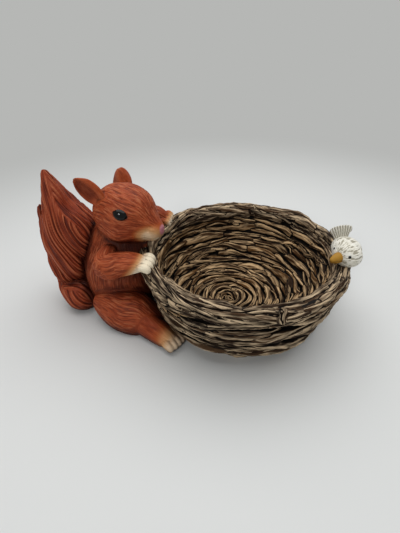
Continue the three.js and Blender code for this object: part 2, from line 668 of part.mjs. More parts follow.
const spigotInto = (start, way, grow = 0) =>
  peg(
    start.clone().addScaledVector(way, SPIGOT_LENGTH),
    start.clone().addScaledVector(way, -SPIGOT_LENGTH),
    SPIGOT_RADIUS,
    grow,
  );
const beakRoot = birdHead.clone().addScaledVector(beakWay, BIRD_HEAD_WIDTH / 2);
const birdCutter = birdForm(GLUE_GAP);
const birdSockets = [spigotInto(beakRoot, beakWay, GLUE_GAP), spigotInto(fanRoot, fanWay, GLUE_GAP)];
const rimUnderBird = seenFrom(rimCutter, bird);
const body = cut(birdForm(), rimUnderBird, seenFrom(pinHole, bird), ...birdSockets);
addMesh(bird, "bird_body", body, birdPaint);
addMesh(bird, "bird_beak", join(cut(beakForm(), birdCutter), spigotInto(beakRoot, beakWay)), beakPaint);
const fan = cut(fanForm(), birdCutter, rimUnderBird);
addMesh(bird, "bird_tail", join(fan, spigotInto(fanRoot, fanWay)), birdPaint);
addMesh(figure, "bird_pin", peg(pinFoot, pinHead, PIN_RADIUS), steel);

export default figure;
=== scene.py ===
"""Looks of a painted resin figurine: a red squirrel that hugs a twig nest, with a small bird on its rim.

Lengths are millimetres in the figurine's own frame until a mesh is made, and metres from there on.
The origin is the middle of the nest's flat foot, +Z is up, and the squirrel sits at -X and looks along +X.
"""

import logging
import math
from collections.abc import Sequence
from dataclasses import dataclass, field, replace
from enum import Enum

import bpy
import numpy as np
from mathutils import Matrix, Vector
from mathutils.bvhtree import BVHTree
from mathutils.kdtree import KDTree


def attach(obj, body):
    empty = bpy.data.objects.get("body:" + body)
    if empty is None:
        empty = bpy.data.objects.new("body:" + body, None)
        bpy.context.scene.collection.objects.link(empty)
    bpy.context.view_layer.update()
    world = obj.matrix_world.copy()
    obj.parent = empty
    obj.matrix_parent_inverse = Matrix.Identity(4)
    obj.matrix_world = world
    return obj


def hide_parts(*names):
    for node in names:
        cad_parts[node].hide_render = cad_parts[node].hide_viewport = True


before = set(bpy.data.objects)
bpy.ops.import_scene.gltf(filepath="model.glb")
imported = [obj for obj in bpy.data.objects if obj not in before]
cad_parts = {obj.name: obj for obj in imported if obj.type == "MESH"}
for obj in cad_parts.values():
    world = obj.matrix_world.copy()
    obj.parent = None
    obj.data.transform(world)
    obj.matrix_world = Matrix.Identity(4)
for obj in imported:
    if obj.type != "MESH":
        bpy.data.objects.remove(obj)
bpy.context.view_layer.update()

MM = 0.001
LOG = logging.getLogger("figurine")

# Turns a twig's tint, from 0 to 1, into a noise pattern of its own.
TINT_SEED = 97.0

Array = np.ndarray
Random = np.random.Generator
Material = bpy.types.Material
Solid = tuple[Array, list]


class Side(Enum):
    """The squirrel's two sides, with the way each lies along Y."""

    RIGHT = -1
    LEFT = 1

    def part(self, name: str) -> str:
        """Gives the CAD name of a part on this side."""
        return f"{self.name.lower()}_{name}"


# Small helpers


def unit(vectors: Sequence) -> Array:
    """Scales one vector, or rows of them, to length 1."""
    rows = np.asarray(vectors, float)
    return rows / np.maximum(np.linalg.norm(rows, axis=-1, keepdims=True), 1e-9)


def turning(axis: int, degrees: float) -> Array:
    """Makes a rotation about a frame axis.

    Args:
        axis: 0, 1 or 2 for X, Y or Z.
        degrees: How far to turn, by the right-hand rule.

    Returns:
        A 3 x 3 matrix.
    """
    c, s = math.cos(math.radians(degrees)), math.sin(math.radians(degrees))
    first, second = (axis + 1) % 3, (axis + 2) % 3
    matrix = np.eye(3)
    matrix[first, first] = matrix[second, second] = c
    matrix[first, second], matrix[second, first] = -s, s
    return matrix


def ease(values: Array, low: float, high: float) -> Array:
    """Rises smoothly from 0 at the low value to 1 at the high one, which may be the smaller of the two."""
    share = np.clip((values - low) / (high - low), 0, 1)
    return share * share * (3 - 2 * share)


def spline(rows: Sequence, shares: Array, ends: float = 1.0) -> Array:
    """Reads a smooth line through rows of values.

    Args:
        rows: Two or more points, or single values, at even steps.
        shares: Where to read, from 0 at the first row to 1 at the last.
        ends: 1 keeps the line's slope up to its ends, and 0 lets it ease out there.

    Returns:
        One row of values for each share.
    """
    knots = np.asarray(rows, float)
    knots = knots[:, None] if knots.ndim == 1 else knots
    last = len(knots) - 1
    place = np.clip(shares, 0, 1) * last
    left = np.minimum(place.astype(int), last - 1)
    t = (place - left)[:, None]
    before = knots[0] + ends * (knots[0] - knots[1])
    after = knots[-1] + ends * (knots[-1] - knots[-2])
    padded = np.concatenate([[before], knots, [after]])
    a, b, c, d = (padded[left + step] for step in range(4))
    curve = (2 * a - 5 * b + 4 * c - d) * t**2 + (3 * b - a - 3 * c + d) * t**3
    return 0.5 * (2 * b + (c - a) * t + curve)


def heading_of(rows: Sequence, shares: Array) -> Array:
    """Gives unit directions, at shares from 0 to 1, of a smooth line through rows of points."""
    step = 0.01
    return unit(spline(rows, shares + step) - spline(rows, shares - step))


class Grain:
    """Smooth random values in space, the same on every run."""

    CELLS = 48

    def __init__(self, seed: int) -> None:
        """Draws the random values of the seed's own pattern."""
        self.lattice = np.random.default_rng(seed).random((self.CELLS,) * 3)

    def at(self, points: Array, size: float) -> Array:
        """Reads the values.

        Args:
            points: Rows of X, Y and Z.
            size: Distance from one random value to the next.

        Returns:
            A value for each point, from -1 to 1.
        """
        scaled = points / size
        base = np.floor(scaled).astype(int)
        part = scaled - base
        part = part * part * (3 - 2 * part)
        total = np.zeros(len(points))
        for corner in np.ndindex(2, 2, 2):
            weight = np.prod(np.where(corner, part, 1 - part), axis=1)
            i, j, k = ((base + corner) % self.CELLS).T
            total += weight * self.lattice[i, j, k]
        return 2 * total - 1


# Forms


@dataclass(frozen=True)
class Swell:
    """A rounded form along a spine, like clay rolled between the fingers.

    wide and high are its full sizes at even steps along the spine, up is where its height points, and
    blunt sets how full its ends are. scoop hollows the upper face to that depth, off its middle by lean.
    """

    spine: Sequence
    wide: Sequence[float]
    high: Sequence[float]
    up: Sequence[float] = (0, 0, 1)
    blunt: float = 2.4
    scoop: float = 0.0
    lean: float = 0.0

    def frames(self, share: Array) -> tuple[Array, Array, Array]:
        """Gives the spine's points and the ways across and up from it, at shares of its length."""
        tangent = heading_of(self.spine, share)
        side = unit(np.cross(np.asarray(self.up, float), tangent))
        return spline(self.spine, share), side, np.cross(tangent, side)

    def solid(self, around: int = 40, rings: int = 36) -> Solid:
        """Makes the form's closed surface.

        Args:
            around: Points round each ring.
            rings: Steps along the spine.

        Returns:
            Its points and faces.
        """
        pole = np.cos(np.linspace(0, math.pi, rings + 1)[1:-1])
        share = (1 - pole) / 2
        centre, side, lift = self.frames(share)
        full = (1 - np.abs(pole) ** self.blunt) ** (1 / self.blunt)
        angle = np.linspace(0, 2 * math.pi, around, endpoint=False)
        across = spline(self.wide, share, 0) / 2 * full[:, None] * np.cos(angle)
        upwards = spline(self.high, share, 0) / 2 * full[:, None] * np.sin(angle)
        if self.scoop:
            off = (np.cos(angle) - self.lean) / 0.8
            cup = np.clip(1 - off**2, 0, 1) * np.clip(np.sin(angle), 0, 1)
            upwards = upwards - self.scoop * cup * (np.sin(math.pi * share**0.8) ** 0.7)[:, None]
        rows = centre[:, None] + side[:, None] * across[..., None] + lift[:, None] * upwards[..., None]
        ends = spline(self.spine, np.array([0.0, 1.0]))
        points = np.concatenate([ends[:1], rows.reshape(-1, 3), ends[1:]])
        return outward(points, ball_faces(around, rings))

    def read(self, points: Array) -> tuple[Array, Array, Array]:
        """Tells where points lie along and round the form.

        Args:
            points: Points on or near its surface.

        Returns:
            Each point's share along the spine, and how far across and up it lies in half girths.
        """
        steps = np.linspace(0, 1, 25)
        far = np.stack([((points - spot) ** 2).sum(axis=1) for spot in spline(self.spine, steps)])
        share = steps[far.argmin(axis=0)]
        for _ in range(3):
            slope = 50 * (spline(self.spine, share + 0.01) - spline(self.spine, share - 0.01))
            off = points - spline(self.spine, share)
            share = np.clip(share + (off * slope).sum(axis=1) / (slope**2).sum(axis=1), 0, 1)
        centre, side, lift = self.frames(share)
        off = points - centre
        across = 2 * (off * side).sum(axis=1) / spline(self.wide, share, 0)[:, 0]
        upwards = 2 * (off * lift).sum(axis=1) / spline(self.high, share, 0)[:, 0]
        return share, across, upwards


def ball_faces(around: int, rings: int) -> list:
    """Lists the faces of a ball of rings with a point at each end.

    Args:
        around: Points round each ring.
        rings: Steps from end to end.

    Returns:
        Corner lists.
    """
    last = 1 + around * (rings - 1)
    faces = []
    for j in range(around):
        k = (j + 1) % around
        faces.append((0, 1 + j, 1 + k))
        for i in range(rings - 2):
            low, high = 1 + i * around, 1 + (i + 1) * around
            faces.append((low + j, high + j, high + k, low + k))
        faces.append((last, last - around + k, last - around + j))
    return faces


def outward(points: Array, faces: list) -> Solid:
    """Turns the faces of a closed form so that they point out.

    Args:
        points: The form's points.
        faces: Its corner lists, all turned the same way.

    Returns:
        The points and faces.
    """
    fans = np.array([(f[0], f[i], f[i + 1]) for f in faces for i in range(1, len(f) - 1)])
    a, b, c = (points[fans[:, i]] for i in range(3))
    if np.einsum("ij,ij->i", a, np.cross(b, c)).sum() < 0:
        faces = [tuple(reversed(f)) for f in faces]
    return points, faces


def moved(solid: Solid, turn: Array, place: Sequence[float]) -> Solid:
    """Turns a form by a 3 x 3 rotation and moves its origin to a place."""
    return solid[0] @ turn.T + np.asarray(place, float), solid[1]


def joined(solids: Sequence[Solid]) -> Solid:
    """Gathers forms into one list of points and faces.

    Args:
        solids: The forms.

    Returns:
        All of their points and faces.
    """
    points, faces, start = [], [], 0
    for rows, corners in solids:
        points.append(rows)
        faces += [tuple(start + i for i in face) for face in corners]
        start += len(rows)
    return np.concatenate(points), faces


def mesh_of(name: str, solid: Solid) -> bpy.types.Mesh:
    """Makes a Blender mesh of a form.

    Args:
        name: The mesh's name.
        solid: Points in millimetres, and faces.

    Returns:
        The mesh, in metres, with smooth shading.
    """
    mesh = bpy.data.meshes.new(name)
    mesh.from_pydata((solid[0] * MM).tolist(), [], solid[1])
    mesh.shade_smooth()
    return mesh


def object_of(name: str, mesh: bpy.types.Mesh) -> bpy.types.Object:
    """Puts a mesh into the scene at the origin.

    Args:
        name: The object's name.
        mesh: Its mesh.

    Returns:
        The object.
    """
    thing = bpy.data.objects.new(name, mesh)
    bpy.context.scene.collection.objects.link(thing)
    return thing


def settled(thing: bpy.types.Object) -> bpy.types.Mesh:
    """Turns an object with modifiers into a plain mesh and removes the object.

    Args:
        thing: The object.

    Returns:
        The finished mesh.
    """
    graph = bpy.context.evaluated_depsgraph_get()
    mesh = bpy.data.meshes.new_from_object(
        thing.evaluated_get(graph), preserve_all_data_layers=True, depsgraph=graph
    )
    bpy.data.objects.remove(thing)
    return mesh


class Skin:
    """The dense surface of a cast piece, which is carved and painted point by point."""

    BORDER_PASSES = 4

    def __init__(self, mesh: bpy.types.Mesh) -> None:
        """Reads a mesh.

        Args:
            mesh: The mesh to work on, in metres.
        """
        self.mesh = mesh
        flat = np.empty(len(mesh.vertices) * 3)
        mesh.vertices.foreach_get("co", flat)
        self.points = flat.reshape(-1, 3) / MM
        links = np.empty(len(mesh.edges) * 2, np.int64)
        mesh.edges.foreach_get("vertices", links)
        self.links = links.reshape(-1, 2)
        self.layers: dict[str, Array] = {}
        self.shading: Array | None = None

    @classmethod
    def over(cls, name: str, solids: Sequence[Solid], grid: float, passes: int) -> "Skin":
        """Grows one closed skin over several forms.

        Args:
            name: Name of the piece.
            solids: The forms, which may reach into each other.
            grid: Distance between the skin's points.
            passes: How often the creases between the forms are smoothed.

        Returns:
            The skin.
        """
        thing = object_of(name + "_forms", mesh_of(name, joined(solids)))
        remesh = thing.modifiers.new("skin", "REMESH")
        remesh.mode = "VOXEL"
        remesh.voxel_size = grid * MM
        skin = cls(settled(thing))
        skin.points = skin.blurred(skin.points, passes)
        return skin

    def blurred(self, values: Array, passes: int) -> Array:
        """Moves the value at each point halfway to the mean of its neighbours.

        Args:
            values: One value, or one row of them, for each point.
            passes: How often to do so.

        Returns:
            The evened values.
        """
        a, b = self.links.T
        count = len(values)
        valence = np.maximum(np.bincount(a, minlength=count) + np.bincount(b, minlength=count), 1)
        columns = values.reshape(count, -1).T.copy()
        for _ in range(passes):
            for i, column in enumerate(columns):
                near = np.bincount(a, column[b], count) + np.bincount(b, column[a], count)
                columns[i] = 0.5 * column + 0.5 * near / valence
        return columns.T.reshape(values.shape)

    def hollows(self, passes: int) -> Array:
        """Tells how deep each point lies in a crease, below 0 on an edge; more passes look further."""
        return ((self.blurred(self.points, passes) - self.points) * self.normals()).sum(axis=1)

    def write(self) -> None:
        """Puts the points back into the mesh."""
        self.mesh.vertices.foreach_set("co", (self.points * MM).ravel())
        self.mesh.update()

    def normals(self) -> Array:
        """Gives the outward direction at each point."""
        self.write()
        flat = np.empty(len(self.points) * 3, np.float32)
        self.mesh.vertex_normals.foreach_get("vector", flat)
        return flat.reshape(-1, 3).astype(float)

    def border(self, marks: Array) -> Array:
        """Finds the narrow band where points with different marks meet.

        Args:
            marks: A mark for each point.

        Returns:
            A share for each point, 1 in the middle of the band.
        """
        a, b = self.links.T
        edge = np.zeros(len(marks))
        edge[self.links[marks[a] != marks[b]].ravel()] = 1
        return np.clip(2 * self.blurred(edge, self.BORDER_PASSES), 0, 1)

    def stand(self) -> None:
        """Keeps the points from going under the table."""
        self.points[:, 2] = np.maximum(self.points[:, 2], 0)

    def push(self, amount: Array, normals: Array) -> None:
        """Moves each point by its amount along its normal."""
        self.points = self.points + normals * amount[:, None]

    def paint(self, name: str, values: Array) -> None:
        """Keeps a value, or a row of three, at each point for the paint to read."""
        self.layers[name] = values

    def parted(self, marks: Array) -> dict[int, "Skin"]:
        """Cuts the skin into pieces that shade as one where they meet.

        Args:
            marks: Which piece each point belongs to.

        Returns:
            A skin for each mark.
        """
        corners, normals = np.array(self.faces()), self.normals()
        owner = marks[corners[:, 0]]
        parts = {}
        for mark in np.unique(owner).tolist():
            kept, faces = np.unique(corners[owner == mark], return_inverse=True)
            part = Skin(mesh_of("part", (self.points[kept], faces.reshape(-1, corners.shape[1]).tolist())))
            part.layers = {key: values[kept] for key, values in self.layers.items()}
            part.shading = normals[kept]
            parts[mark] = part
        return parts

    def faces(self) -> list:
        """Lists the corners of each face."""
        return [tuple(face.vertices) for face in self.mesh.polygons]

    def finish(self, name: str, material: Material) -> bpy.types.Object:
        """Makes the finished object.

        Args:
            name: Its name.
            material: Its paint.

        Returns:
            The object.
        """
        self.write()
        self.mesh.name = name
        self.mesh.shade_smooth()
        for key, values in self.layers.items():
            kind, column = ("FLOAT", "value") if values.ndim == 1 else ("FLOAT_VECTOR", "vector")
            layer = self.mesh.attributes.new(key, kind, "POINT")
            layer.data.foreach_set(column, values.astype(np.float32).ravel())
        if self.shading is not None:
            self.mesh.normals_split_custom_set_from_vertices(self.shading.tolist())
        self.mesh.materials.clear()
        self.mesh.materials.append(material)
        return object_of(name, self.mesh)


@dataclass
class Assembly:
    """Pieces that are built together, each with the CAD node that it stands for and its paint slot."""

    pieces: list = field(default_factory=list)

    def dress(self) -> None:
        """Says which CAD node each piece stands for."""
        for piece, node, slot in self.pieces:
            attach(piece, "root")
            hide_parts(node)
            LOG.info("%s stands for %s", piece.name, node)


def openness(skin: Skin, tree: BVHTree, reach: float, rays: int = 10) -> Array:
    """Tells how open each point is to what stands around it; where it is not, the paint lays wash and painted
    shade.

    Args:
        skin: The surface.
        tree: What stands around it.
        reach: How far a neighbour can be to matter.
        rays: How many ways are tried from each point.

    Returns:
        A share for each point, 0 deep in a gap and 1 in the clear.
    """
    off_skin, outward_pull = 0.08, 1.15
    turn = math.pi * (3 - math.sqrt(5)) * np.arange(rays)
    height = (np.arange(rays) + 0.5) / rays * 2 - 1
    ring = np.sqrt(1 - height**2)
    spray = np.stack([ring * np.cos(turn), ring * np.sin(turn), height], 1)
    normals = skin.normals()
    starts = (skin.points + off_skin * normals).tolist()
    clear = np.zeros(len(starts))
    for way in spray:
        for i, (start, aim) in enumerate(zip(starts, unit(outward_pull * normals + way).tolist())):
            far = tree.ray_cast(start, aim, reach)[3]
            clear[i] += 1.0 if far is None else far / reach
    return clear / rays


# Nodes


def to_linear(code: str) -> tuple[float, float, float, float]:
    """Turns an sRGB hex colour into linear values.

    Args:
        code: A colour such as "#a1b2c3".

    Returns:
        Red, green, blue and 1.
    """
    parts = [int(code[i : i + 2], 16) / 255 for i in (1, 3, 5)]
    linear = [c / 12.92 if c <= 0.04045 else ((c + 0.055) / 1.055) ** 2.4 for c in parts]
    return (linear[0], linear[1], linear[2], 1.0)


def feed(tree: bpy.types.NodeTree, node: bpy.types.Node, inputs: dict) -> None:
    """Sets and links a node's inputs.

    Args:
        tree: The tree that the node is in.
        node: The node.
        inputs: Input sockets by name or number, each with a value or the socket that feeds it.
    """
    for key, value in inputs.items():
        if isinstance(value, bpy.types.NodeSocket):
            tree.links.new(value, node.inputs[key])
        else:
            node.inputs[key].default_value = value


def add_node(
    tree: bpy.types.NodeTree,
    kind: str,
    inputs: dict | None = None,
    out: int | str = 0,
    stops: Sequence[tuple[float, str]] = (),
    **settings: object,
) -> bpy.types.NodeSocket:
    """Adds a node with its settings and links.

    Args:
        tree: The tree that it goes into.
        kind: The node's type.
        inputs: What its input sockets get.
        out: Name or number of the output to give back.
        stops: Places and hex colours, for a node with a colour ramp.
        **settings: The node's own properties.

    Returns:
        The output socket.
    """
    node = tree.nodes.new(kind)
    for key, value in settings.items():
        setattr(node, key, value)
    feed(tree, node, inputs or {})
    if stops:
        ramp = node.color_ramp.elements
        while len(ramp) < len(stops):
            ramp.new(1.0)
        for element, (place, code) in zip(ramp, stops):
            element.position = place
            element.color = to_linear(code)
    return node.outputs[out]


def start_material(name: str) -> tuple[Material, bpy.types.NodeTree, bpy.types.Node]:
    """Starts a node material.

    Args:
        name: The material's name.

    Returns:
        The material, its node tree and its shader node.
    """
    material = bpy.data.materials.new(name)
    material.use_nodes = True
    tree = material.node_tree
    return material, tree, tree.nodes["Principled BSDF"]


# Finishes


@dataclass(frozen=True)
class FurPaint:
    """Acrylic paint on carved resin: satin, with a dark wash in the grooves, painted shade in creases and
    hollows, and dry-brushed ridges.

    The carved strokes come with the mesh. Finer hair lines between them follow the same way. A range says
    where a layer starts and where it is full, and a share says how much of it is laid on.
    """

    name: str
    deep: str
    bright: str
    wash: str
    ridge: str
    orange: str = "#b4581e"
    tan: str = "#cf9a68"
    cream: str = "#f6e8cc"
    cream_wash: str = "#8a6a42"
    nose: str = "#c9838d"
    lid: str = "#241009"
    hair_share: float = 0.55
    wash_share: float = 0.6
    wash_range: tuple[float, float] = (0.5, 0.1)
    ridge_share: float = 0.6
    ridge_range: tuple[float, float] = (0.6, 1.0)
    # Colour of the painted shade, with some wash, where the gap share says a point is closed in.
    crease: str = "#2a0602"
    crease_share: float = 0.85
    crease_range: tuple[float, float] = (0.13, 0.48)
    cream_range: tuple[float, float] = (0.02, 0.35)
    hair_range: tuple[float, float] = (0.38, 0.62)
    smooth_level: float = 0.55
    mottle_mm: float = 9.0
    stipple_mm: float = 0.5
    relief_mm: float = 0.25
    roughness: float = 0.46
    rougher: float = 0.14
    specular: float = 0.16

    def make(self) -> Material:
        """Builds the paint's nodes.

        Returns:
            The material.
        """
        material, tree, shader = start_material(self.name)
        place = add_node(tree, "ShaderNodeTexCoord", out="Object")
        stroke, cream, nose, lid, smooth, gap = (
            add_node(tree, "ShaderNodeAttribute", out="Fac", attribute_name=key)
            for key in ("stroke", "cream", "nose", "lid", "smooth", "gap")
        )
        comb = add_node(tree, "ShaderNodeAttribute", out="Vector", attribute_name="comb")
        mottle, stipple = (
            add_node(tree, "ShaderNodeTexNoise", {"Vector": place, "Scale": 1 / (size * MM), "Detail": 3.0})
            for size in (self.mottle_mm, self.stipple_mm)
        )
        strand = add_node(tree, "ShaderNodeTexNoise", {"Vector": comb, "Scale": 1.0, "Detail": 1.0})
        low, high = self.hair_range
        hair = add_node(tree, "ShaderNodeMapRange", {"Value": strand, "From Min": low, "From Max": high})
        carved = add_node(tree, "ShaderNodeMath", {0: stroke, 1: 1 - self.hair_share}, operation="MULTIPLY")
        relief = add_node(
            tree, "ShaderNodeMath", {0: hair, 1: self.hair_share, 2: carved}, operation="MULTIPLY_ADD"
        )
        relief = add_node(
            tree, "ShaderNodeMix", {0: smooth, 2: relief, 3: self.smooth_level}, data_type="FLOAT"
        )
        # groove is the wash in the carved grooves; crease lays painted shade, with some wash, where the gap
        # share is high.
        groove, crease, ridge, over = (
            add_node(
                tree,
                "ShaderNodeMapRange",
                {"Value": value, "From Min": start, "From Max": end, "To Max": most},
            )
            for value, (start, end), most in (
                (relief, self.wash_range, self.wash_share),
                (gap, self.crease_range, self.crease_share),
                (relief, self.ridge_range, self.ridge_share),
                (cream, self.cream_range, 1.0),
            )
        )
        half = add_node(tree, "ShaderNodeMath", {0: groove, 1: 0.5}, operation="MULTIPLY")
        coat = add_node(
            tree, "ShaderNodeValToRGB", {"Fac": mottle}, stops=((0.35, self.deep), (0.65, self.bright))
        )
        tips = add_node(
            tree,
            "ShaderNodeValToRGB",
            {"Fac": cream},
            stops=((0.1, self.orange), (0.5, self.tan), (0.85, self.cream)),
        )
        pale = add_node(
            tree, "ShaderNodeMix", {0: half, 6: tips, 7: to_linear(self.cream_wash)}, out=2, data_type="RGBA"
        )
        for share, colour in (
            (groove, to_linear(self.wash)),
            (ridge, to_linear(self.ridge)),
            (over, pale),
            (crease, to_linear(self.crease)),
            (nose, to_linear(self.nose)),
            (lid, to_linear(self.lid)),
        ):
            coat = add_node(tree, "ShaderNodeMix", {0: share, 6: coat, 7: colour}, out=2, data_type="RGBA")
        low, high = self.roughness, self.roughness + self.rougher
        sheen = add_node(
            tree,
            "ShaderNodeMapRange",
            {"Value": stipple, "From Min": 0.3, "From Max": 0.7, "To Min": low, "To Max": high},
        )
        bump = add_node(
            tree, "ShaderNodeBump", {"Height": relief, "Strength": 0.6, "Distance": self.relief_mm * MM}
        )
        looks = {"Base Color": coat, "Roughness": sheen, "Normal": bump, "Specular IOR Level": self.specular}
        feed(tree, shader, looks)
        return material


@dataclass(frozen=True)
class TwigPaint:
    """Matt brown paint on cast twigs: fibre streaks, black wash and painted shade in the gaps, and pale dry
    brushing on top.

    fibre is how fast the streaks change along and round a twig. Ranges and shares are as those of fur.
    """

    name: str
    dark: str
    mid: str
    light: str
    dry: str
    # Colour of the black wash in the gaps and of the painted shade in the hollows, laid by the gap share.
    wash: str = "#0a0502"
    fibre: tuple[float, float] = (0.24, 0.8)
    brush_finer: float = 1.7
    fissure_share: float = 0.7
    fissure_range: tuple[float, float] = (0.05, 0.01)
    dry_share: float = 0.95
    dry_range: tuple[float, float] = (0.43, 0.6)
    clear_range: tuple[float, float] = (0.27, 0.11)
    wash_range: tuple[float, float] = (0.15, 0.36)
    relief_mm: float = 0.3
    roughness: float = 0.62
    rougher: float = 0.2
    specular: float = 0.14

    def make(self) -> Material:
        """Builds the paint's nodes.

        Returns:
            The material.
        """
        material, tree, shader = start_material(self.name)
        tint, gap = (
            add_node(tree, "ShaderNodeAttribute", out="Fac", attribute_name=key)
            for key in ("tint", "gap")
        )
        grain = add_node(tree, "ShaderNodeAttribute", out="Vector", attribute_name="grain")
        along, round_ = self.fibre
        spread = add_node(tree, "ShaderNodeMath", {0: tint, 1: TINT_SEED}, operation="MULTIPLY")
        streaks = []
        for fine in (1.0, self.brush_finer):
            squeeze = (fine * along, fine * round_, fine * round_)
            drawn = add_node(tree, "ShaderNodeVectorMath", {0: grain, 1: squeeze}, operation="MULTIPLY")
            inputs = {"Vector": drawn, "W": spread, "Scale": 1.0, "Detail": 3.0}
            streaks.append(add_node(tree, "ShaderNodeTexNoise", inputs, noise_dimensions="4D"))
        bark, brush = streaks
        swing = add_node(tree, "ShaderNodeMath", {0: bark, 1: 0.5}, operation="SUBTRACT")
        apart = add_node(tree, "ShaderNodeMath", {0: swing}, operation="ABSOLUTE")
        coat = add_node(
            tree,
            "ShaderNodeValToRGB",
            {"Fac": tint},
            stops=((0.0, self.dark), (0.5, self.mid), (1.0, self.light)),
        )
        # The gap share lays black wash in narrow gaps and painted shade in wide hollows.
        fissure, brushed, in_clear, washed_and_shaded = (
            add_node(
                tree,
                "ShaderNodeMapRange",
                {"Value": value, "From Min": start, "From Max": end, "To Max": most},
            )
            for value, (start, end), most in (
                (apart, self.fissure_range, self.fissure_share),
                (brush, self.dry_range, self.dry_share),
                (gap, self.clear_range, 1.0),
                (gap, self.wash_range, 1.0),
            )
        )
        dry = add_node(tree, "ShaderNodeMath", {0: brushed, 1: in_clear}, operation="MULTIPLY")
        for share, colour in ((dry, self.dry), (fissure, self.dark), (washed_and_shaded, self.wash)):
            coat = add_node(
                tree, "ShaderNodeMix", {0: share, 6: coat, 7: to_linear(colour)}, out=2, data_type="RGBA"
            )
        rough, worn = self.roughness + self.rougher, self.roughness
        sheen = add_node(
            tree,
            "ShaderNodeMapRange",
            {"Value": brush, "From Min": 0.3, "From Max": 0.7, "To Min": rough, "To Max": worn},
        )
        height = add_node(tree, "ShaderNodeMath", {0: fissure, 1: -1.0, 2: brush}, operation="MULTIPLY_ADD")
        bump = add_node(
            tree, "ShaderNodeBump", {"Height": height, "Strength": 0.6, "Distance": self.relief_mm * MM}
        )
        looks = {"Base Color": coat, "Roughness": sheen, "Normal": bump, "Specular IOR Level": self.specular}
        feed(tree, shader, looks)
        return material


@dataclass(frozen=True)
class GlossBead:
    """Black glass-like bead under clear varnish: deep black with sharp, small highlights."""

    name: str = "varnished_black_bead"
    colour: str = "#030304"
    roughness: float = 0.04
    rougher: float = 0.06
    smear_mm: float = 1.5
    specular: float = 0.26

    def make(self) -> Material:
        """Builds the bead's nodes.

        Returns:
            The material.
        """
        material, tree, shader = start_material(self.name)
        place = add_node(tree, "ShaderNodeTexCoord", out="Object")
        smear = add_node(tree, "ShaderNodeTexNoise", {"Vector": place, "Scale": 1 / (self.smear_mm * MM)})
        low, high = self.roughness, self.roughness + self.rougher
        gloss = add_node(tree, "ShaderNodeMapRange", {"Value": smear, "To Min": low, "To Max": high})
        colour = to_linear(self.colour)
        feed(tree, shader, {"Base Color": colour, "Roughness": gloss, "Specular IOR Level": self.specular})
        return material


@dataclass(frozen=True)
class DrawnSteel:
    """Plain drawn steel wire: bright metal with fine lines along its length."""

    name: str = "drawn_steel_wire"
    colour: str = "#c3c5c8"
    line_mm: float = 0.15
    line_stretch: float = 20.0
    roughness: tuple[float, float] = (0.22, 0.42)

    def make(self) -> Material:
        """Builds the wire's nodes.

        Returns:
            The material.
        """
        material, tree, shader = start_material(self.name)
        place = add_node(tree, "ShaderNodeTexCoord", out="Object")
        squeeze = (1.0, 1.0, 1 / self.line_stretch)
        drawn = add_node(tree, "ShaderNodeVectorMath", {0: place, 1: squeeze}, operation="MULTIPLY")
        lines = add_node(tree, "ShaderNodeTexNoise", {"Vector": drawn, "Scale": 1 / (self.line_mm * MM)})
        low, high = self.roughness
        rough = add_node(tree, "ShaderNodeMapRange", {"Value": lines, "To Min": low, "To Max": high})
        looks = {"Base Color": to_linear(self.colour), "Roughness": rough, "Metallic": 1.0}
        feed(tree, shader, looks)
        return material


def seen_rays(tree: bpy.types.NodeTree) -> bpy.types.NodeSocket:
    """Gives 1 to rays that show a backdrop to the eye, straight or mirrored, and 0 to the rest.

    Args:
        tree: The node tree to add to.

    Returns:
        The socket with the answer.
    """
    rays = add_node(tree, "ShaderNodeLightPath").node.outputs
    seen = rays["Is Camera Ray"]
    for key in ("Is Glossy Ray", "Is Transmission Ray"):
        seen = add_node(tree, "ShaderNodeMath", {0: seen, 1: rays[key]}, operation="MAXIMUM")
    return seen


@dataclass(frozen=True)
class FloorCloth:
    """Pale matt cloth under the figurine, which fades into the backdrop's tone further off."""

    name: str = "pale_matt_cloth"
    colour: str = "#dcdddb"
    backdrop: str = "#b6b7b5"
    from_m: float = 0.15
    to_m: float = 0.42
    roughness: float = 0.9

    def make(self) -> Material:
        """Builds the cloth's nodes.

        Returns:
            The material.
        """
        material, tree, shader = start_material(self.name)
        place = add_node(tree, "ShaderNodeTexCoord", out="Object")
        away = add_node(tree, "ShaderNodeVectorMath", {0: place}, out="Value", operation="LENGTH")
        share = add_node(
            tree,
            "ShaderNodeMapRange",
            {"Value": away, "From Min": self.from_m, "From Max": self.to_m},
            interpolation_type="SMOOTHSTEP",
        )
        share = add_node(tree, "ShaderNodeMath", {0: share, 1: seen_rays(tree)}, operation="MULTIPLY")
        feed(tree, shader, {"Base Color": to_linear(self.colour), "Roughness": self.roughness})
        tone = add_node(tree, "ShaderNodeEmission", {"Color": to_linear(self.backdrop)})
        mix = add_node(tree, "ShaderNodeMixShader", {0: share, 1: shader.outputs[0], 2: tone})
        tree.links.new(mix, tree.nodes["Material Output"].inputs["Surface"])
        return material


# Nest


class TwigPaths:
    """Centre lines of twigs, gathered until they get their bark."""

    def __init__(self) -> None:
        """Starts with no twigs."""
        self.points: list[Array] = []
        self.girths: list[Array] = []
        self.tints: list[Array] = []

    def lay(self, points: Array, girths: Array, tint: float) -> None:
        """Adds one twig.

        Args:
            points: Its centre line.
            girths: Its radius at each point.
            tint: How pale it is, from 0 to 1.
        """
        self.points.append(points)
        self.girths.append(girths)
        self.tints.append(np.full(len(points), tint))

    def mesh(self, name: str) -> bpy.types.Mesh:
        """Makes a mesh of bare edges with each point's radius and tint.

        Args:
            name: The mesh's name.

        Returns:
            The mesh, in metres.
        """
        edges, start = [], 0
        for rows in self.points:
            edges += [(start + i, start + i + 1) for i in range(len(rows) - 1)]
            start += len(rows)
        mesh = bpy.data.meshes.new(name)
        mesh.from_pydata((np.concatenate(self.points) * MM).tolist(), edges, [])
        for key, values, scale in (("girth", self.girths, MM), ("tint", self.tints, 1.0)):
            layer = mesh.attributes.new(key, "FLOAT", "POINT")
            layer.data.foreach_set("value", (np.concatenate(values) * scale).astype(np.float32))
        return mesh


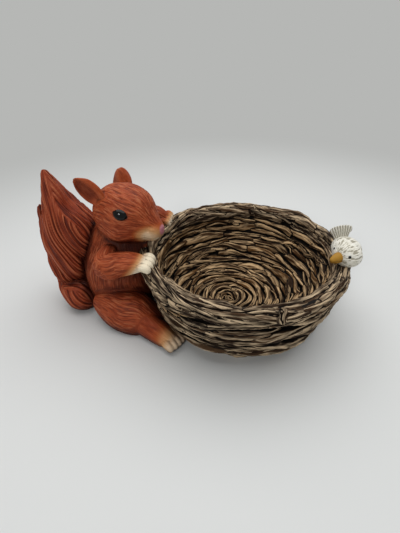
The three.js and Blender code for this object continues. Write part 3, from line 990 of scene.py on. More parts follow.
class TwigBark:
    """Geometry Nodes that grow a gnarled twig along each centre line."""

    INPUTS = (
        ("Geometry", "NodeSocketGeometry"),
        ("Sides", "NodeSocketInt"),
        ("Gnarl", "NodeSocketFloat"),
        ("Gnarl length", "NodeSocketFloat"),
        ("Ridges", "NodeSocketFloat"),
        ("Seed", "NodeSocketInt"),
        ("Paint", "NodeSocketMaterial"),
    )
    KNOT_SCALE = 1.1
    FISSURE_DRAW = (0.35, 0.8, 0.8)
    FISSURE_WIDTH = 0.12
    FISSURE_REACH = (-0.7, 0.3)

    def __init__(self) -> None:
        """Builds the node tree."""
        tree = self.tree = bpy.data.node_groups.new("bark_along_centre_lines", "GeometryNodeTree")
        for name, kind in self.INPUTS:
            tree.interface.new_socket(name, in_out="INPUT", socket_type=kind)
        tree.interface.new_socket("Geometry", in_out="OUTPUT", socket_type="NodeSocketGeometry")
        given = add_node(tree, "NodeGroupInput").node.outputs
        line = add_node(tree, "GeometryNodeMeshToCurve", {"Mesh": given["Geometry"]})
        spot = add_node(tree, "GeometryNodeSplineParameter").node.outputs
        line = add_node(
            tree,
            "GeometryNodeStoreNamedAttribute",
            {"Geometry": line, "Name": "along", "Value": spot["Length"]},
        )
        ring = add_node(
            tree, "GeometryNodeCurvePrimitiveCircle", {"Resolution": given["Sides"], "Radius": 1.0}
        )
        ring = add_node(
            tree,
            "GeometryNodeStoreNamedAttribute",
            {"Geometry": ring, "Name": "round", "Value": spot["Factor"]},
        )
        girth, along, round_, tint = (
            add_node(tree, "GeometryNodeInputNamedAttribute", {"Name": key})
            for key in ("girth", "along", "round", "tint")
        )
        bark = add_node(
            tree,
            "GeometryNodeCurveToMesh",
            {"Curve": line, "Profile Curve": ring, "Scale": girth, "Fill Caps": True},
        )
        angle = add_node(tree, "ShaderNodeMath", {0: round_, 1: 2 * math.pi}, operation="MULTIPLY")
        across = add_node(tree, "ShaderNodeMath", {0: angle}, operation="COSINE")
        upwards = add_node(tree, "ShaderNodeMath", {0: angle}, operation="SINE")
        length = add_node(tree, "ShaderNodeMath", {0: along, 1: given["Gnarl length"]}, operation="DIVIDE")
        grain = add_node(tree, "ShaderNodeCombineXYZ", {"X": length, "Y": across, "Z": upwards})
        bark = add_node(
            tree,
            "GeometryNodeStoreNamedAttribute",
            {"Geometry": bark, "Name": "grain", "Value": grain},
            data_type="FLOAT_VECTOR",
        )
        spread = add_node(
            tree, "ShaderNodeMath", {0: tint, 1: TINT_SEED, 2: given["Seed"]}, operation="MULTIPLY_ADD"
        )
        knots = add_node(
            tree,
            "ShaderNodeTexNoise",
            {"Vector": grain, "W": spread, "Scale": self.KNOT_SCALE, "Detail": 2.0},
            noise_dimensions="4D",
        )
        drawn = add_node(
            tree, "ShaderNodeVectorMath", {0: grain, 1: self.FISSURE_DRAW}, operation="MULTIPLY"
        )
        fissures = add_node(
            tree,
            "ShaderNodeTexNoise",
            {"Vector": drawn, "W": spread, "Scale": 1.0, "Detail": 1.0},
            noise_dimensions="4D",
        )
        swing = add_node(tree, "ShaderNodeMath", {0: knots, 1: 0.5}, operation="SUBTRACT")
        split = add_node(tree, "ShaderNodeMath", {0: fissures, 1: 0.5}, operation="SUBTRACT")
        split = add_node(tree, "ShaderNodeMath", {0: split}, operation="ABSOLUTE")
        deep, proud = self.FISSURE_REACH
        split = add_node(
            tree,
            "ShaderNodeMapRange",
            {"Value": split, "From Max": self.FISSURE_WIDTH, "To Min": deep, "To Max": proud},
        )
        reach = add_node(tree, "ShaderNodeMath", {0: swing, 1: given["Gnarl"]}, operation="MULTIPLY")
        reach = add_node(
            tree, "ShaderNodeMath", {0: split, 1: given["Ridges"], 2: reach}, operation="MULTIPLY_ADD"
        )
        normal = add_node(tree, "GeometryNodeInputNormal")
        offset = add_node(tree, "ShaderNodeVectorMath", {0: normal, "Scale": reach}, operation="SCALE")
        shaped = add_node(tree, "GeometryNodeSetPosition", {"Geometry": bark, "Offset": offset})
        whole = add_node(tree, "GeometryNodeRealizeInstances", {"Geometry": shaped})
        painted = add_node(tree, "GeometryNodeSetMaterial", {"Geometry": whole, "Material": given["Paint"]})
        feed(tree, tree.nodes.new("NodeGroupOutput"), {"Geometry": painted})

    def grow(self, name: str, paths: TwigPaths, settings: dict[str, object]) -> Skin:
        """Grows the bark over a set of centre lines.

        Args:
            name: Name of the piece.
            paths: The centre lines.
            settings: A value for each of the tree's named inputs.

        Returns:
            The twigs' surface.
        """
        thing = object_of(name + "_lines", paths.mesh(name))
        modifier = thing.modifiers.new("bark", "NODES")
        modifier.node_group = self.tree
        for item in self.tree.interface.items_tree:
            if item.in_out == "INPUT" and item.name in settings:
                modifier[item.identifier] = settings[item.name]
        return Skin(settled(thing))


class Wall:
    """A round wall to lay twigs on, read by an angle about the axis and a climb along its outline."""

    def __init__(self, outline: Array, facing: int, drift: tuple[float, float] = (0.0, 0.0)) -> None:
        """Measures the wall.

        Args:
            outline: Rows of radius and height.
            facing: 1 where the twigs lie outside the wall, -1 where they lie inside.
            drift: How far the wall's lowest point is moved along X and Y.
        """
        steps = np.linalg.norm(np.diff(outline, axis=0), axis=1)
        self.outline = outline
        self.climbs = np.concatenate([[0.0], np.cumsum(steps)])
        self.length = float(self.climbs[-1])
        slope = unit(np.gradient(outline, self.climbs, axis=0))
        self.normals = facing * np.stack([slope[:, 1], -slope[:, 0]], 1)
        self.drift = drift
        self.low, self.high = outline[:, 1].min(), outline[:, 1].max()

    def radius(self, climb: float) -> float:
        """Gives the distance from the axis at a climb."""
        return float(np.interp(climb, self.climbs, self.outline[:, 0]))

    def at(self, angle: Array, climb: Array, lift: Array) -> Array:
        """Gives points on or over the wall.

        Args:
            angle: Radians about the axis.
            climb: Distance along the outline.
            lift: Distance off the wall.

        Returns:
            Rows of X, Y and Z.
        """
        columns = np.hstack([self.outline, self.normals]).T
        radius, height, out, up = (np.interp(climb, self.climbs, column) for column in columns)
        radius = radius + lift * out
        height = height + lift * up
        sunk = np.clip((self.high - height) / (self.high - self.low), 0, 1)
        x = radius * np.cos(angle) + self.drift[0] * sunk
        y = radius * np.sin(angle) + self.drift[1] * sunk
        return np.stack([x, y, height], 1)

    def shell(self, sink: float, around: int = 96, rows: int = 40) -> Array:
        """Gives a grid of points under the twigs.

        Args:
            sink: How far the grid lies behind the wall.
            around: Points round the axis.
            rows: Points along the outline.

        Returns:
            An array of rows x around x 3.
        """
        angle = np.linspace(0, 2 * math.pi, around, endpoint=False)
        climbs = np.linspace(0, self.length, rows)
        return np.stack([self.at(angle, np.full(around, c), np.full(around, -sink)) for c in climbs])


@dataclass(frozen=True)
class Courses:
    """Rows of twigs up a wall, which stray a little on their way round, as those of the CAD bowl do."""

    wall: Wall
    count: int
    crowding: float = 1.0
    stray: float = 0.22

    def climb(self, course: Array, angle: Array) -> Array:
        """Gives how far up the wall a course lies.

        Args:
            course: Counted from the wall's start, with parts of a course.
            angle: Radians about the axis.

        Returns:
            Distances along the wall's outline.
        """
        swing = np.sin(3 * angle + 1.7 * course) + 0.6 * np.sin(5 * angle - 2.3 * course)
        held = np.minimum(1, np.minimum(2 * course / self.count, self.count - course))
        share = np.clip((course + self.stray * held * swing) / self.count, 0, 1)
        return share**self.crowding * self.wall.length


@dataclass(frozen=True)
class Weave:
    """How twigs of random length, girth and slant lie along the courses of a wall.

    girth is a share of a course's width, slant is how many courses a twig crosses, lift is its height off the
    wall, and double is the share of places where two thin twigs cross instead.
    """

    courses: Courses
    length: tuple[float, float]
    girth: tuple[float, float]
    slant: float
    lift: float = 0.0
    double: float = 0.25

    STEP = 1.5
    FEWEST_STEPS = 8
    OVERLAP = 0.86
    MOST_TURN = 2.4
    LEAST_RADIUS = 2.0
    RADII = (0.8, 3.0)
    SWAY = 0.17
    SWAY_WAVES = (1.3, 2.6, 4.1)
    EDGE = 0.25
    PAIR = 0.26
    PAIR_CROSSING = 2.4
    PAIR_GIRTH = 0.66
    KNOT = 0.14
    TAPER = 0.35
    STRAY_LENGTH = 0.6
    STRAY_RADIUS = 6.0
    STRAY_TURN = 1.6
    STRAY_SWAY = 0.2

    def lay(self, paths: TwigPaths, rng: Random) -> None:
        """Lays twigs end over end along every course.

        Args:
            paths: Where their centre lines go.
            rng: Draws each twig's own shape.
        """
        for course in range(self.courses.count):
            radius = self._radius(course + 0.5)
            start = rng.uniform(0, 2 * math.pi)
            angle = start
            while angle < start + 2 * math.pi:
                turn = min(rng.uniform(*self.length) / radius, self.MOST_TURN)
                self._twig(paths, rng, course + 0.5, (angle, turn))
                angle += self.OVERLAP * turn

    def strays(self, paths: TwigPaths, rng: Random, count: int, girth: float, slant: float) -> None:
        """Lays loose thinner twigs across the courses.

        Args:
            paths: Where their centre lines go.
            rng: Draws each twig's own place and shape.
            count: How many to lay.
            girth: Their mean radius.
            slant: How many courses they cross.
        """
        for _ in range(count):
            course = self.courses.count * math.sqrt(rng.uniform(0.05, 0.95))
            reach = self.STRAY_LENGTH * rng.uniform(*self.length)
            turn = min(reach / max(self._radius(course), self.STRAY_RADIUS), self.STRAY_TURN)
            t = self._steps(course, turn)
            angle = rng.uniform(0, 2 * math.pi) + turn * t
            across = course + rng.normal(0, slant) * (t - 0.5) + self.STRAY_SWAY * self._sway(t, rng)
            climb = self.courses.climb(np.clip(across, 0.2, self.courses.count - 0.2), angle)
            end = np.abs(2 * t - 1)
            lift = self.lift + rng.uniform(0.9, 1.7) - 1.2 * end**3
            thick = girth * rng.uniform(0.7, 1.3) * (1 - 0.5 * end**4)
            paths.lay(self.courses.wall.at(angle, climb, lift), thick, rng.uniform())

    def _radius(self, course: float) -> float:
        """Gives the distance from the axis at a course."""
        level = self.courses.climb(np.array([course]), np.zeros(1))
        return max(self.courses.wall.radius(float(level[0])), self.LEAST_RADIUS)

    def _steps(self, course: float, turn: float) -> Array:
        """Gives shares along a twig, a step apart."""
        return np.linspace(0, 1, max(self.FEWEST_STEPS, int(turn * self._radius(course) / self.STEP)))

    def _sway(self, t: Array, rng: Random) -> Array:
        """Gives a random slow wave along a twig.

        Args:
            t: Shares along the twig.
            rng: Draws the wave.

        Returns:
            A value for each share.
        """
        return sum(
            rng.normal(0, 1 / wave) * np.sin(math.pi * (wave * t + rng.uniform(0, 2)))
            for wave in self.SWAY_WAVES
        )

    def _twig(self, paths: TwigPaths, rng: Random, course: float, arc: tuple[float, float]) -> None:
        """Lays one twig, or two thin ones that cross.

        Args:
            paths: Where the centre lines go.
            rng: Draws the shape.
            course: The middle of its course.
            arc: The angle where it starts and how far it turns.
        """
        t = self._steps(course, arc[1])
        angle = arc[0] + arc[1] * t
        end = np.abs(2 * t - 1) ** 7
        climb = self.courses.climb
        strands = (-self.PAIR, self.PAIR) if rng.uniform() < self.double else (0.0,)
        for place in strands:
            lean = rng.uniform(-self.slant, self.slant) - self.PAIR_CROSSING * place
            across = course + place + lean * (t - 0.5) + self.SWAY * self._sway(t, rng)
            across = np.clip(across, self.EDGE, self.courses.count - self.EDGE)
            room = (climb(across + self.EDGE, angle) - climb(across - self.EDGE, angle)) / (2 * self.EDGE)
            share = rng.uniform(*self.girth) * (1 if len(strands) == 1 else self.PAIR_GIRTH)
            knots = 1 + self.KNOT * np.sin(rng.uniform(6, 13) * t + rng.uniform(0, 6))
            thick = np.clip(share * room / 2, *self.RADII) * knots * (1 - self.TAPER * end)
            bob = rng.normal(0, 0.5) + rng.normal(0, 0.9) * (t - 0.5)
            lift = self.lift + bob - rng.uniform(-0.2, 1.2) * end
            centre = self.courses.wall.at(angle, climb(across, angle), lift)
            paths.lay(centre, thick, rng.uniform())


@dataclass
class Nest(Assembly):
    """The dish: a bowl of coiled twigs with a wreath round its lip."""

    rim_radius: float = 60.5
    rim_height: float = 45.0
    rim_width: float = 11.0
    rim_depth: float = 10.0
    foot_radius: float = 43.0
    belly: tuple[float, float] = (55.5, 17.0)
    floor: float = 10.0
    lip: float = 5.0
    drift: tuple[float, float] = (-9.0, -4.0)
    ties: tuple = ((86.0, 0.46), (-70.0, 0.12))
    twig_sink: float = 1.2
    core_sink: tuple[float, float] = (2.0, 2.2)
    hoop_sink: float = 0.9
    gnarl_length: float = 6.0
    ridges: float = 0.6
    seed: int = 7
    form: Solid | None = None

    HOLLOW_LINE = ((0.0, 0.0), (0.58, 0.14), (0.88, 0.5), (1.0, 1.0))
    RIM_ARC = (-75, 240)
    OUTLINE_STEPS = 120
    NEAR = 5.0
    WIDE = 18.0
    WIDE_RAYS = 8
    WIDE_CLEAR = 0.85

    def build(self, bark: TwigBark, inside: Material, outside: Material) -> None:
        """Lays the twigs and the shells that they are cast on.

        Args:
            bark: Grows the twigs.
            inside: Paint of the hollow.
            outside: Paint of the rim and the outside.
        """
        rng = np.random.default_rng(self.seed)
        top = self.rim_height - self.rim_depth / 4
        shares = np.linspace(0, 1, self.OUTLINE_STEPS)
        mouth, depth = self.rim_radius - self.lip, top - self.floor
        inner = [(out * mouth, self.floor + up * depth) for out, up in self.HOLLOW_LINE]
        outer = [(self.foot_radius, 0), self.belly, (self.rim_radius, top)]
        section = np.radians(np.linspace(*self.RIM_ARC, self.OUTLINE_STEPS))
        ring = [
            self.rim_radius + (self.rim_width / 2 - self.twig_sink) * np.cos(section),
            self.rim_height + (self.rim_depth / 2 - self.twig_sink) * np.sin(section),
        ]
        hollow = Wall(spline(inner, shares, 0), -1, self.drift)
        skirt = Wall(spline(outer, shares, 0), 1)
        wreath = Wall(np.stack(ring, 1), 1)

        lining, cover, binding = TwigPaths(), TwigPaths(), TwigPaths()
        lined = Weave(Courses(hollow, 17, 1.2), (20, 46), (0.6, 0.9), 0.55, double=0.15)
        lined.lay(lining, rng)
        lined.strays(lining, rng, count=70, girth=0.95, slant=0.6)
        under = Courses(hollow, 16, 1.2, 0.1)
        Weave(under, (26, 60), (0.8, 1.0), 0.4, lift=-2.1, double=0.0).lay(lining, rng)
        covered = Weave(Courses(skirt, 9), (36, 80), (0.58, 0.84), 0.55, double=0.08)
        covered.lay(cover, rng)
        covered.strays(cover, rng, count=16, girth=1.2, slant=0.6)
        bound = Weave(Courses(wreath, 4), (34, 76), (0.56, 0.84), 0.55, lift=-0.3, double=0.1)
        bound.lay(binding, rng)
        bound.strays(binding, rng, count=36, girth=1.5, slant=0.6)
        under = Courses(wreath, 4, 1.0, 0.1)
        Weave(under, (34, 76), (0.7, 0.9), 0.3, lift=-1.8, double=0.0).lay(binding, rng)
        self._tie(wreath, binding, rng)

        twigs = [
            ("nest_hollow_twigs", lining, inside, "nest_bowl", "twig_paint", 1.9, 15),
            ("nest_skirt_twigs", cover, outside, "nest_bowl", "twig_paint", 2.6, 18),
            ("nest_rim_twigs", binding, outside, "nest_rim", "rim_paint", 2.6, 18),
        ]
        skins = []
        for name, paths, paint, node, slot, gnarl, sides in twigs:
            settings = {
                "Sides": sides,
                "Gnarl": gnarl * MM,
                "Gnarl length": self.gnarl_length * MM,
                "Ridges": self.ridges * MM,
                "Seed": 0,
                "Paint": paint,
            }
            skins.append((bark.grow(name, paths, settings), name, paint, node, slot))
        core = self._core(hollow, skirt)
        grid = wreath.shell(self.hoop_sink)
        low = np.arange(grid[..., 0].size).reshape(grid.shape[:2])
        high = np.roll(low, -1, 0)
        quads = np.stack([low, high, np.roll(high, -1, 1), np.roll(low, -1, 1)], 2)
        hoop = outward(grid.reshape(-1, 3), quads.reshape(-1, 4).tolist())
        self.form = joined([core, hoop])
        for name, solid, node, slot in (
            ("nest_core", core, "nest_bowl", "twig_paint"),
            ("nest_rim_core", hoop, "nest_rim", "rim_paint"),
        ):
            skins.append((Skin(mesh_of(name, solid)), name, outside, node, slot))
        for skin, *_ in skins:
            skin.stand()
        self._wash_and_shade(skins)
        for skin, name, paint, node, slot in skins:
            self.pieces.append((skin.finish(name, paint), node, slot))

    def _tie(self, wreath: Wall, binding: TwigPaths, rng: Random) -> None:
        """Lays pairs of knobbly twigs across the rim where it is tied.

        Args:
            wreath: The rim's outside.
            binding: Where the centre lines go.
            rng: Draws each twig's own shape.
        """
        t = np.linspace(0, 1, 18)
        for degrees, foot in self.ties:
            for spread in (-0.022, 0.02):
                angle = math.radians(degrees) + spread + rng.normal(0, 0.05) * (t - 0.5)
                angle = angle + 0.01 * np.sin(11 * t)
                climb = wreath.length * (foot + rng.uniform(0, 0.06) + rng.uniform(0.36, 0.46) * t)
                lift = 1.3 + 0.5 * np.sin(9 * t + rng.uniform(0, 6)) - 2.2 * np.abs(2 * t - 1) ** 4
                thick = rng.uniform(0.8, 1.1) * (1 + 0.25 * np.sin(13 * t + rng.uniform(0, 6)))
                binding.lay(wreath.at(angle, climb, lift), thick, rng.uniform(0.2, 0.7))

    def _core(self, hollow: Wall, skirt: Wall) -> Solid:
        """Makes the closed shell between the two faces of the bowl.

        Args:
            hollow: The inner wall.
            skirt: The outer wall.

        Returns:
            Its points and faces.
        """
        inner, outer = (wall.shell(sink) for wall, sink in zip((hollow, skirt), self.core_sink))
        outer[..., 2] = np.maximum(outer[..., 2], 0)
        grid = np.concatenate([inner[1:], outer[::-1]])
        points = np.concatenate([inner[0, :1], grid.reshape(-1, 3), [(0, 0, 0)]])
        return outward(points, ball_faces(grid.shape[1], len(grid) + 1))

    def _wash_and_shade(self, skins: Sequence[tuple]) -> None:
        """Finds where the black wash goes in the gaps, and where painted shade goes under the rim and deep in
        the bowl.

        Args:
            skins: The nest's surfaces, each first in its tuple.
        """
        points, faces = joined([(entry[0].points, entry[0].faces()) for entry in skins])
        tree = BVHTree.FromPolygons(points.tolist(), faces)
        for skin, name, *_ in skins:
            # The shells under the twigs are painted fully dark: wash and painted shade in the gaps.
            if name.endswith("core"):
                skin.paint("gap", np.ones(len(skin.points)))
            else:
                near = openness(skin, tree, self.NEAR)
                # The near look finds the wash between twigs; the wide look adds painted shade under the rim
                # and deep in the bowl.
                wide = openness(skin, tree, self.WIDE, self.WIDE_RAYS)
                skin.paint("gap", np.maximum(1 - near, self.WIDE_CLEAR - wide))


# Squirrel


@dataclass(frozen=True, eq=False)
class Comb:
    """How fur lies on one form: in strokes along its spine, of some width, length and depth.

    wave is how far the strokes swing, and node is the CAD piece that the form belongs to.
    """

    form: Swell
    width: float
    length: float
    depth: float
    wave: float = 0.0
    node: str = ""

    def place(self, points: Array) -> Array:
        """Gives comb coordinates, which hardly change along a stroke and change fast from stroke to stroke.

        Args:
            points: Points on the form.

        Returns:
            Rows of three values, in which a stroke is about 1 wide and 1 long.
        """
        share, across, upwards = self.form.read(points)
        line = spline(self.form.spine, np.linspace(0, 1, 40))
        reach = np.linalg.norm(np.diff(line, axis=0), axis=1).sum()
        angle = np.arctan2(upwards, across)
        angle = angle + self.wave * np.sin(13 * share + 2 * np.cos(angle))
        turns = self._girth() / 2 / self.width
        return np.stack([turns * np.cos(angle), turns * np.sin(angle), share * reach / self.length], 1)

    def tips(self, points: Array) -> Array:
        """Marks where the form is so thin that its strokes run together.

        Args:
            points: Points on the form.

        Returns:
            A share for each point, 1 at the form's ends.
        """
        share, _, _ = self.form.read(points)
        full = (1 - np.abs(1 - 2 * share) ** self.form.blunt) ** (1 / self.form.blunt)
        girth = (spline(self.form.wide, share, 0) + spline(self.form.high, share, 0))[:, 0] / 2 * full
        return ease(girth / self._girth(), 0.45, 0.2)

    def _girth(self) -> float:
        """Gives the form's mean girth."""
        return float(np.mean([*self.form.wide, *self.form.high]))


@dataclass(frozen=True)
class Lump:
    """One rounded form of a casting, and the comb that its fur follows."""

    solid: Solid
    comb: Comb


@dataclass(frozen=True)
class Coat:
    """How fur lies all over a skin: each point's comb, its coordinates and depth, and the combs' seams."""

    combs: list[Comb]
    owner: Array
    place: Array
    depth: Array
    seam: Array

    @classmethod
    def over(cls, skin: Skin, lumps: Sequence[Lump]) -> "Coat":
        """Reads the comb of the nearest form at each point of a skin.

        Args:
            skin: The skin.
            lumps: The forms under it.

        Returns:
            The coat.
        """
        combs: list[Comb] = []
        labels: list[int] = []
        tree = KDTree(sum(len(lump.solid[0]) for lump in lumps))
        for lump in lumps:
            if lump.comb not in combs:
                combs.append(lump.comb)
            for point in lump.solid[0].tolist():
                tree.insert(point, len(labels))
                labels.append(combs.index(lump.comb))
        tree.balance()
        owner = np.array([labels[tree.find(point)[1]] for point in skin.points.tolist()])
        place = np.zeros_like(skin.points)
        depth, tips = np.zeros((2, len(owner)))
        for i, comb in enumerate(combs):
            mine = owner == i
            place[mine] = comb.place(skin.points[mine])
            depth[mine] = comb.depth
            tips[mine] = comb.tips(skin.points[mine])
        seam = np.maximum(skin.border(owner), tips)
        return cls(combs, owner, place, skin.blurred(depth, 8), seam)

    def strokes(self, grain: Grain, size: float) -> Array:
        """Draws strokes of a size against the combs' own: -1 in a groove and 1 on a ridge."""
        return 2 * ease(grain.at(self.place, size), -0.35, 0.35) - 1


@dataclass
class Squirrel(Assembly):
    """The squirrel: one furry cast skin, its tail and its two bead eyes."""

    stand: float = -86.0
    torso_height: float = 66.0
    torso_width: float = 49.0
    torso_depth: float = 52.0
    head_size: tuple[float, float, float] = (46.0, 37.0, 37.0)
    head_place: tuple[float, float, float] = (13.0, -4.0, 70.0)
    head_turn: tuple[float, float, float] = (-10.0, 7.0, -15.0)
    muzzle: tuple[float, float] = (17.0, 15.0)
    cheek: tuple[float, float] = (15.0, 19.0)
    eye: tuple[float, float] = (8.0, 6.3)
    ear_length: float = 17.0
    ear_thick: float = 5.0
    ear_spread: float = 23.6
    arm_thick: float = 15.0
    paw_width: float = 16.5
    paw_angle: float = 28.0
    rim_radius: float = 60.5
    rim_top: float = 50.0
    finger: tuple[float, float] = (8.0, 4.6)
    haunch: tuple[float, float, float] = (53.0, 30.0, 28.0)
    foot: tuple[float, float, float] = (38.0, 15.0, 14.0)
    foot_splay: float = 30.0
    tail_height: float = 91.0
    tail_reach: float = 45.0
    tail_width: float = 34.0
    tail_depth: float = 27.0
    grid: float = 0.42
    tail_grid: float = 0.4
    strand_width: float = 0.8
    strand_length: float = 45.0
    strand_depth: float = 0.46
    flick: float = 3.0
    seed: int = 11

    DIGITS = (-1.5, -0.5, 0.5, 1.5)
    # Painted shade added on the torso and the legs, which makes them darker than the head and the arms.
    PAINTED_SHADE_BY_NODE = {"torso": 0.2, "right_leg": 0.1, "left_leg": 0.1}
    CREAM_LATER = {Side.RIGHT: 1.0, Side.LEFT: 8.0}
    WRIST_LIFT = {Side.RIGHT: 0.0, Side.LEFT: 3.5}
    EAR_SHAPE = {Side.RIGHT: (11.5, 0.0, 49.0), Side.LEFT: (18.0, 2.5, 60.0)}
    EYE_PROUD = 1.0
    EYE_FLATTENED = 0.4
    EYE_DEPTH = 6.0
    FAR_OFF = 99.0
    LID_RIDGE = 0.35
    SOCKET_DEPTH = 1.2
    PAW_CREAM = (-11.0, 1.0)
    FOOT_CREAM = (20.0, 38.0)
    CHEEK_PATCH = ((18.0, 0, -6.0), (10.0, 13.0, 7.0))
    NOSE_PAINT = (4.0, 2.6)
    CREASE_PASSES = 12
    # The gap share below which the paint lays no wash or painted shade.
    UNDARKENED_GAP = 0.13
    TABLE_HALF = 300.0
    FUR_REACH = 22.0
    TAIL_REACH = 12.0
    TAIL_SLOPE = 1.2
    TAIL_CURVE = 0.03
    TAIL_LAYER = 8.0
    STROKE = 1.2
    STRAND = 1.15
    ON_TABLE = 0.05

    def __post_init__(self) -> None:
        """Works out the head's turn and its middle."""
        roll, pitch, yaw = self.head_turn
        self.turn = turning(2, yaw) @ turning(1, pitch) @ turning(0, roll)
        self.middle = np.array(self.head_place) + (self.stand, 0, 0)
        length = self.head_size[0]
        self.back, self.nose = -0.44 * length, 0.56 * length
        self.chin = -0.14 * self.head_size[2]

    def from_head(self, place: Sequence[float]) -> Array:
        """Moves a place from the head's own frame into the figurine's."""
        return np.asarray(place, float) @ self.turn.T + self.middle

    def in_head(self, points: Array) -> Array:
        """Moves points from the figurine's frame into the head's own."""
        return (points - self.middle) @ self.turn

    def torso_lumps(self) -> list[Lump]:
        """Makes the torso, upright, from below the table to the neck."""
        lean, tall = 0.2 * self.torso_depth, self.torso_height
        spine = [
            (0.5 * lean, 0, -0.2 * tall),
            (0.45 * lean, 0, 0.2 * tall),
            (0.55 * lean, 0, 0.52 * tall),
            (0.7 * lean, 0, 0.8 * tall),
            (lean, 0, tall),
        ]
        spine = np.array(spine) + (self.stand, 0, 0)
        wide = np.array([0.8, 1, 0.94, 0.8, 0.66]) * self.torso_width
        deep = np.array([0.82, 1.0, 0.94, 0.8, 0.66]) * self.torso_depth
        form = Swell(spine, wide, deep, up=(1, 0, 0))
        return [Lump(form.solid(64, 48), Comb(form, 0.46, 5.0, 0.13, 0.08, "torso"))]

    def head_lumps(self) -> list[Lump]:
        """Makes the skull, the muzzle and the cheeks."""
        _, wide, high = self.head_size
        back, nose, chin = self.back, self.nose, self.chin
        skull = Swell(
            [
                (back, 0, 0.2 * chin),
                (0.42 * back, 0, 0),
                (0.16 * nose, 0, 0.1 * chin),
                (0.6 * nose, 0, 0.5 * chin),
                (nose, 0, 0.5 * chin),
            ],
            np.array([0.9, 1, 0.96, 0.67, 0.36]) * wide,
            np.array([0.9, 1, 0.98, 0.69, 0.34]) * high,
        )
        muzzle = Swell(
            [(0.3 * nose, 0, chin), (0.7 * nose, 0, 0.85 * chin), (nose, 0, 0.55 * chin)],
            np.array([1, 1, 0.85]) * self.muzzle[0],
            np.array([1, 1, 0.8]) * self.muzzle[1],
        )
        forms = [skull, muzzle]
        for side in Side:
            spine = [
                (0.4 * back, side.value * 0.22 * wide, 0.7 * chin),
                (0.1 * nose, side.value * 0.27 * wide, chin),
                (0.6 * nose, side.value * 0.15 * wide, chin),
            ]
            girths = (np.array([0.85, 1, 0.75]) * self.cheek[0], np.array([0.9, 1, 0.75]) * self.cheek[1])
            forms.append(Swell(spine, *girths))
        along = Swell(self.from_head(skull.spine), skull.wide, skull.high, up=self.turn[:, 2])
        comb = Comb(along, 0.52, 3.6, 0.12, 0.05, "head")
        return [Lump(moved(form.solid(56, 44), self.turn, self.middle), comb) for form in forms]

    def ear_lumps(self, side: Side) -> list[Lump]:
        """Makes one ear, a leaf with a cup that opens outwards.

        Args:
            side: Which ear.

        Returns:
            The ear as one form.
        """
        wide, forward, sweep = self.EAR_SHAPE[side]
        sign, spread = side.value, math.radians(self.ear_spread)
        length, girth, height = self.head_size
        sweep = math.radians(sweep)
        way = np.array(
            [-math.cos(spread) * math.sin(sweep), sign * math.sin(spread), math.cos(spread) * math.cos(sweep)]
        )
        root = np.array([forward - 0.25 * length, sign * 0.38 * girth, 0.25 * height])
        face = unit((0.1, sign * 0.95, 0.1))
        spine = [
            root + way * share * self.ear_length + face * proud * self.ear_thick
            for share, proud in ((-0.2, 0), (0.3, -0.1), (0.7, -0.1), (1, 0.2))
        ]
        leaf = Swell(
            self.from_head(spine),
            np.array([1.2, 1.1, 0.92, 0.5]) * wide,
            np.array([1, 1, 0.85, 0.55]) * self.ear_thick,
            up=self.turn @ face,
            scoop=0.66 * self.ear_thick,
            lean=-0.2 * sign,
        )
        return [Lump(leaf.solid(64, 48), Comb(leaf, 0.7, 5.0, 0.08, node=side.part("ear")))]

    def paw_place(self, side: Side) -> Array:
        """Gives the middle of a paw on the rim."""
        angle = math.radians(self.paw_angle)
        x = -0.2 * self.paw_width - self.rim_radius * math.cos(angle)
        y = side.value * self.rim_radius * math.sin(angle)
        return np.array([x, y, self.rim_top + 0.1 * self.paw_width])

    def arm_lumps(self, side: Side) -> list[Lump]:
        """Makes one arm, from the shoulder to the fingers on the rim.

        Args:
            side: Which arm.

        Returns:
            The limb and its fingers.
        """
        sign, thick = side.value, self.arm_thick
        long, girth = self.finger
        paw = self.paw_place(side)
        tall = 0.76 * self.torso_height
        x = self.stand + 0.1 * self.torso_depth
        shoulder = np.array([x, sign * 0.3 * self.torso_width, tall + 0.13 * thick])
        elbow = np.array([x, sign * 0.56 * self.torso_width, (tall + paw[2]) / 2 - 0.3 * thick])
        wrist = elbow + 0.72 * (paw - elbow) + (0, 0, self.WRIST_LIFT[side])
        spine = [shoulder, elbow, (elbow + wrist) / 2, wrist, paw + np.array([0.25, 0, -0.12]) * long]
        limb = Swell(
            spine,
            np.array([1.1, 1.12, 1.05, 0.95, 0.95]) * thick,
            np.array([1.1, 1.12, 1, 0.88, 0.72]) * thick,
            blunt=3,
        )
        forms = [limb.solid(48, 40)]
        for place in self.DIGITS:
            set_back = (0.25 + 0.06 * abs(place)) * long
            knuckle = paw + (-set_back, place * self.paw_width / len(self.DIGITS), 0)
            tip = knuckle + np.array([0.95, 0, -0.4]) * long
            bend = (knuckle + tip) / 2 + np.array([0.1, 0, 0.16]) * long
            girths = np.array([1, 1.1, 0.9]) * girth
            forms.append(Swell([knuckle, bend, tip], girths, girths, blunt=2.6).solid(20, 18))
        comb = Comb(limb, 0.54, 4.5, 0.11, node=side.part("arm"))
        return [Lump(form, comb) for form in forms]

    def foot_line(self, side: Side) -> tuple[Array, Array]:
        """Gives the place of a hock and the way its foot points."""
        splay = math.radians(self.foot_splay)
        hip = self.hip(side)
        hock = hip + (0.15 * self.haunch[0], side.value * 0.1 * self.haunch[2], 0)
        return hock, np.array([math.cos(splay), side.value * math.sin(splay), 0])

    def hip(self, side: Side) -> Array:
        """Gives the middle of a haunch."""
        x = self.stand + 0.21 * self.torso_depth
        return np.array([x, side.value * 0.5 * self.torso_width, 0.35 * self.haunch[1]])

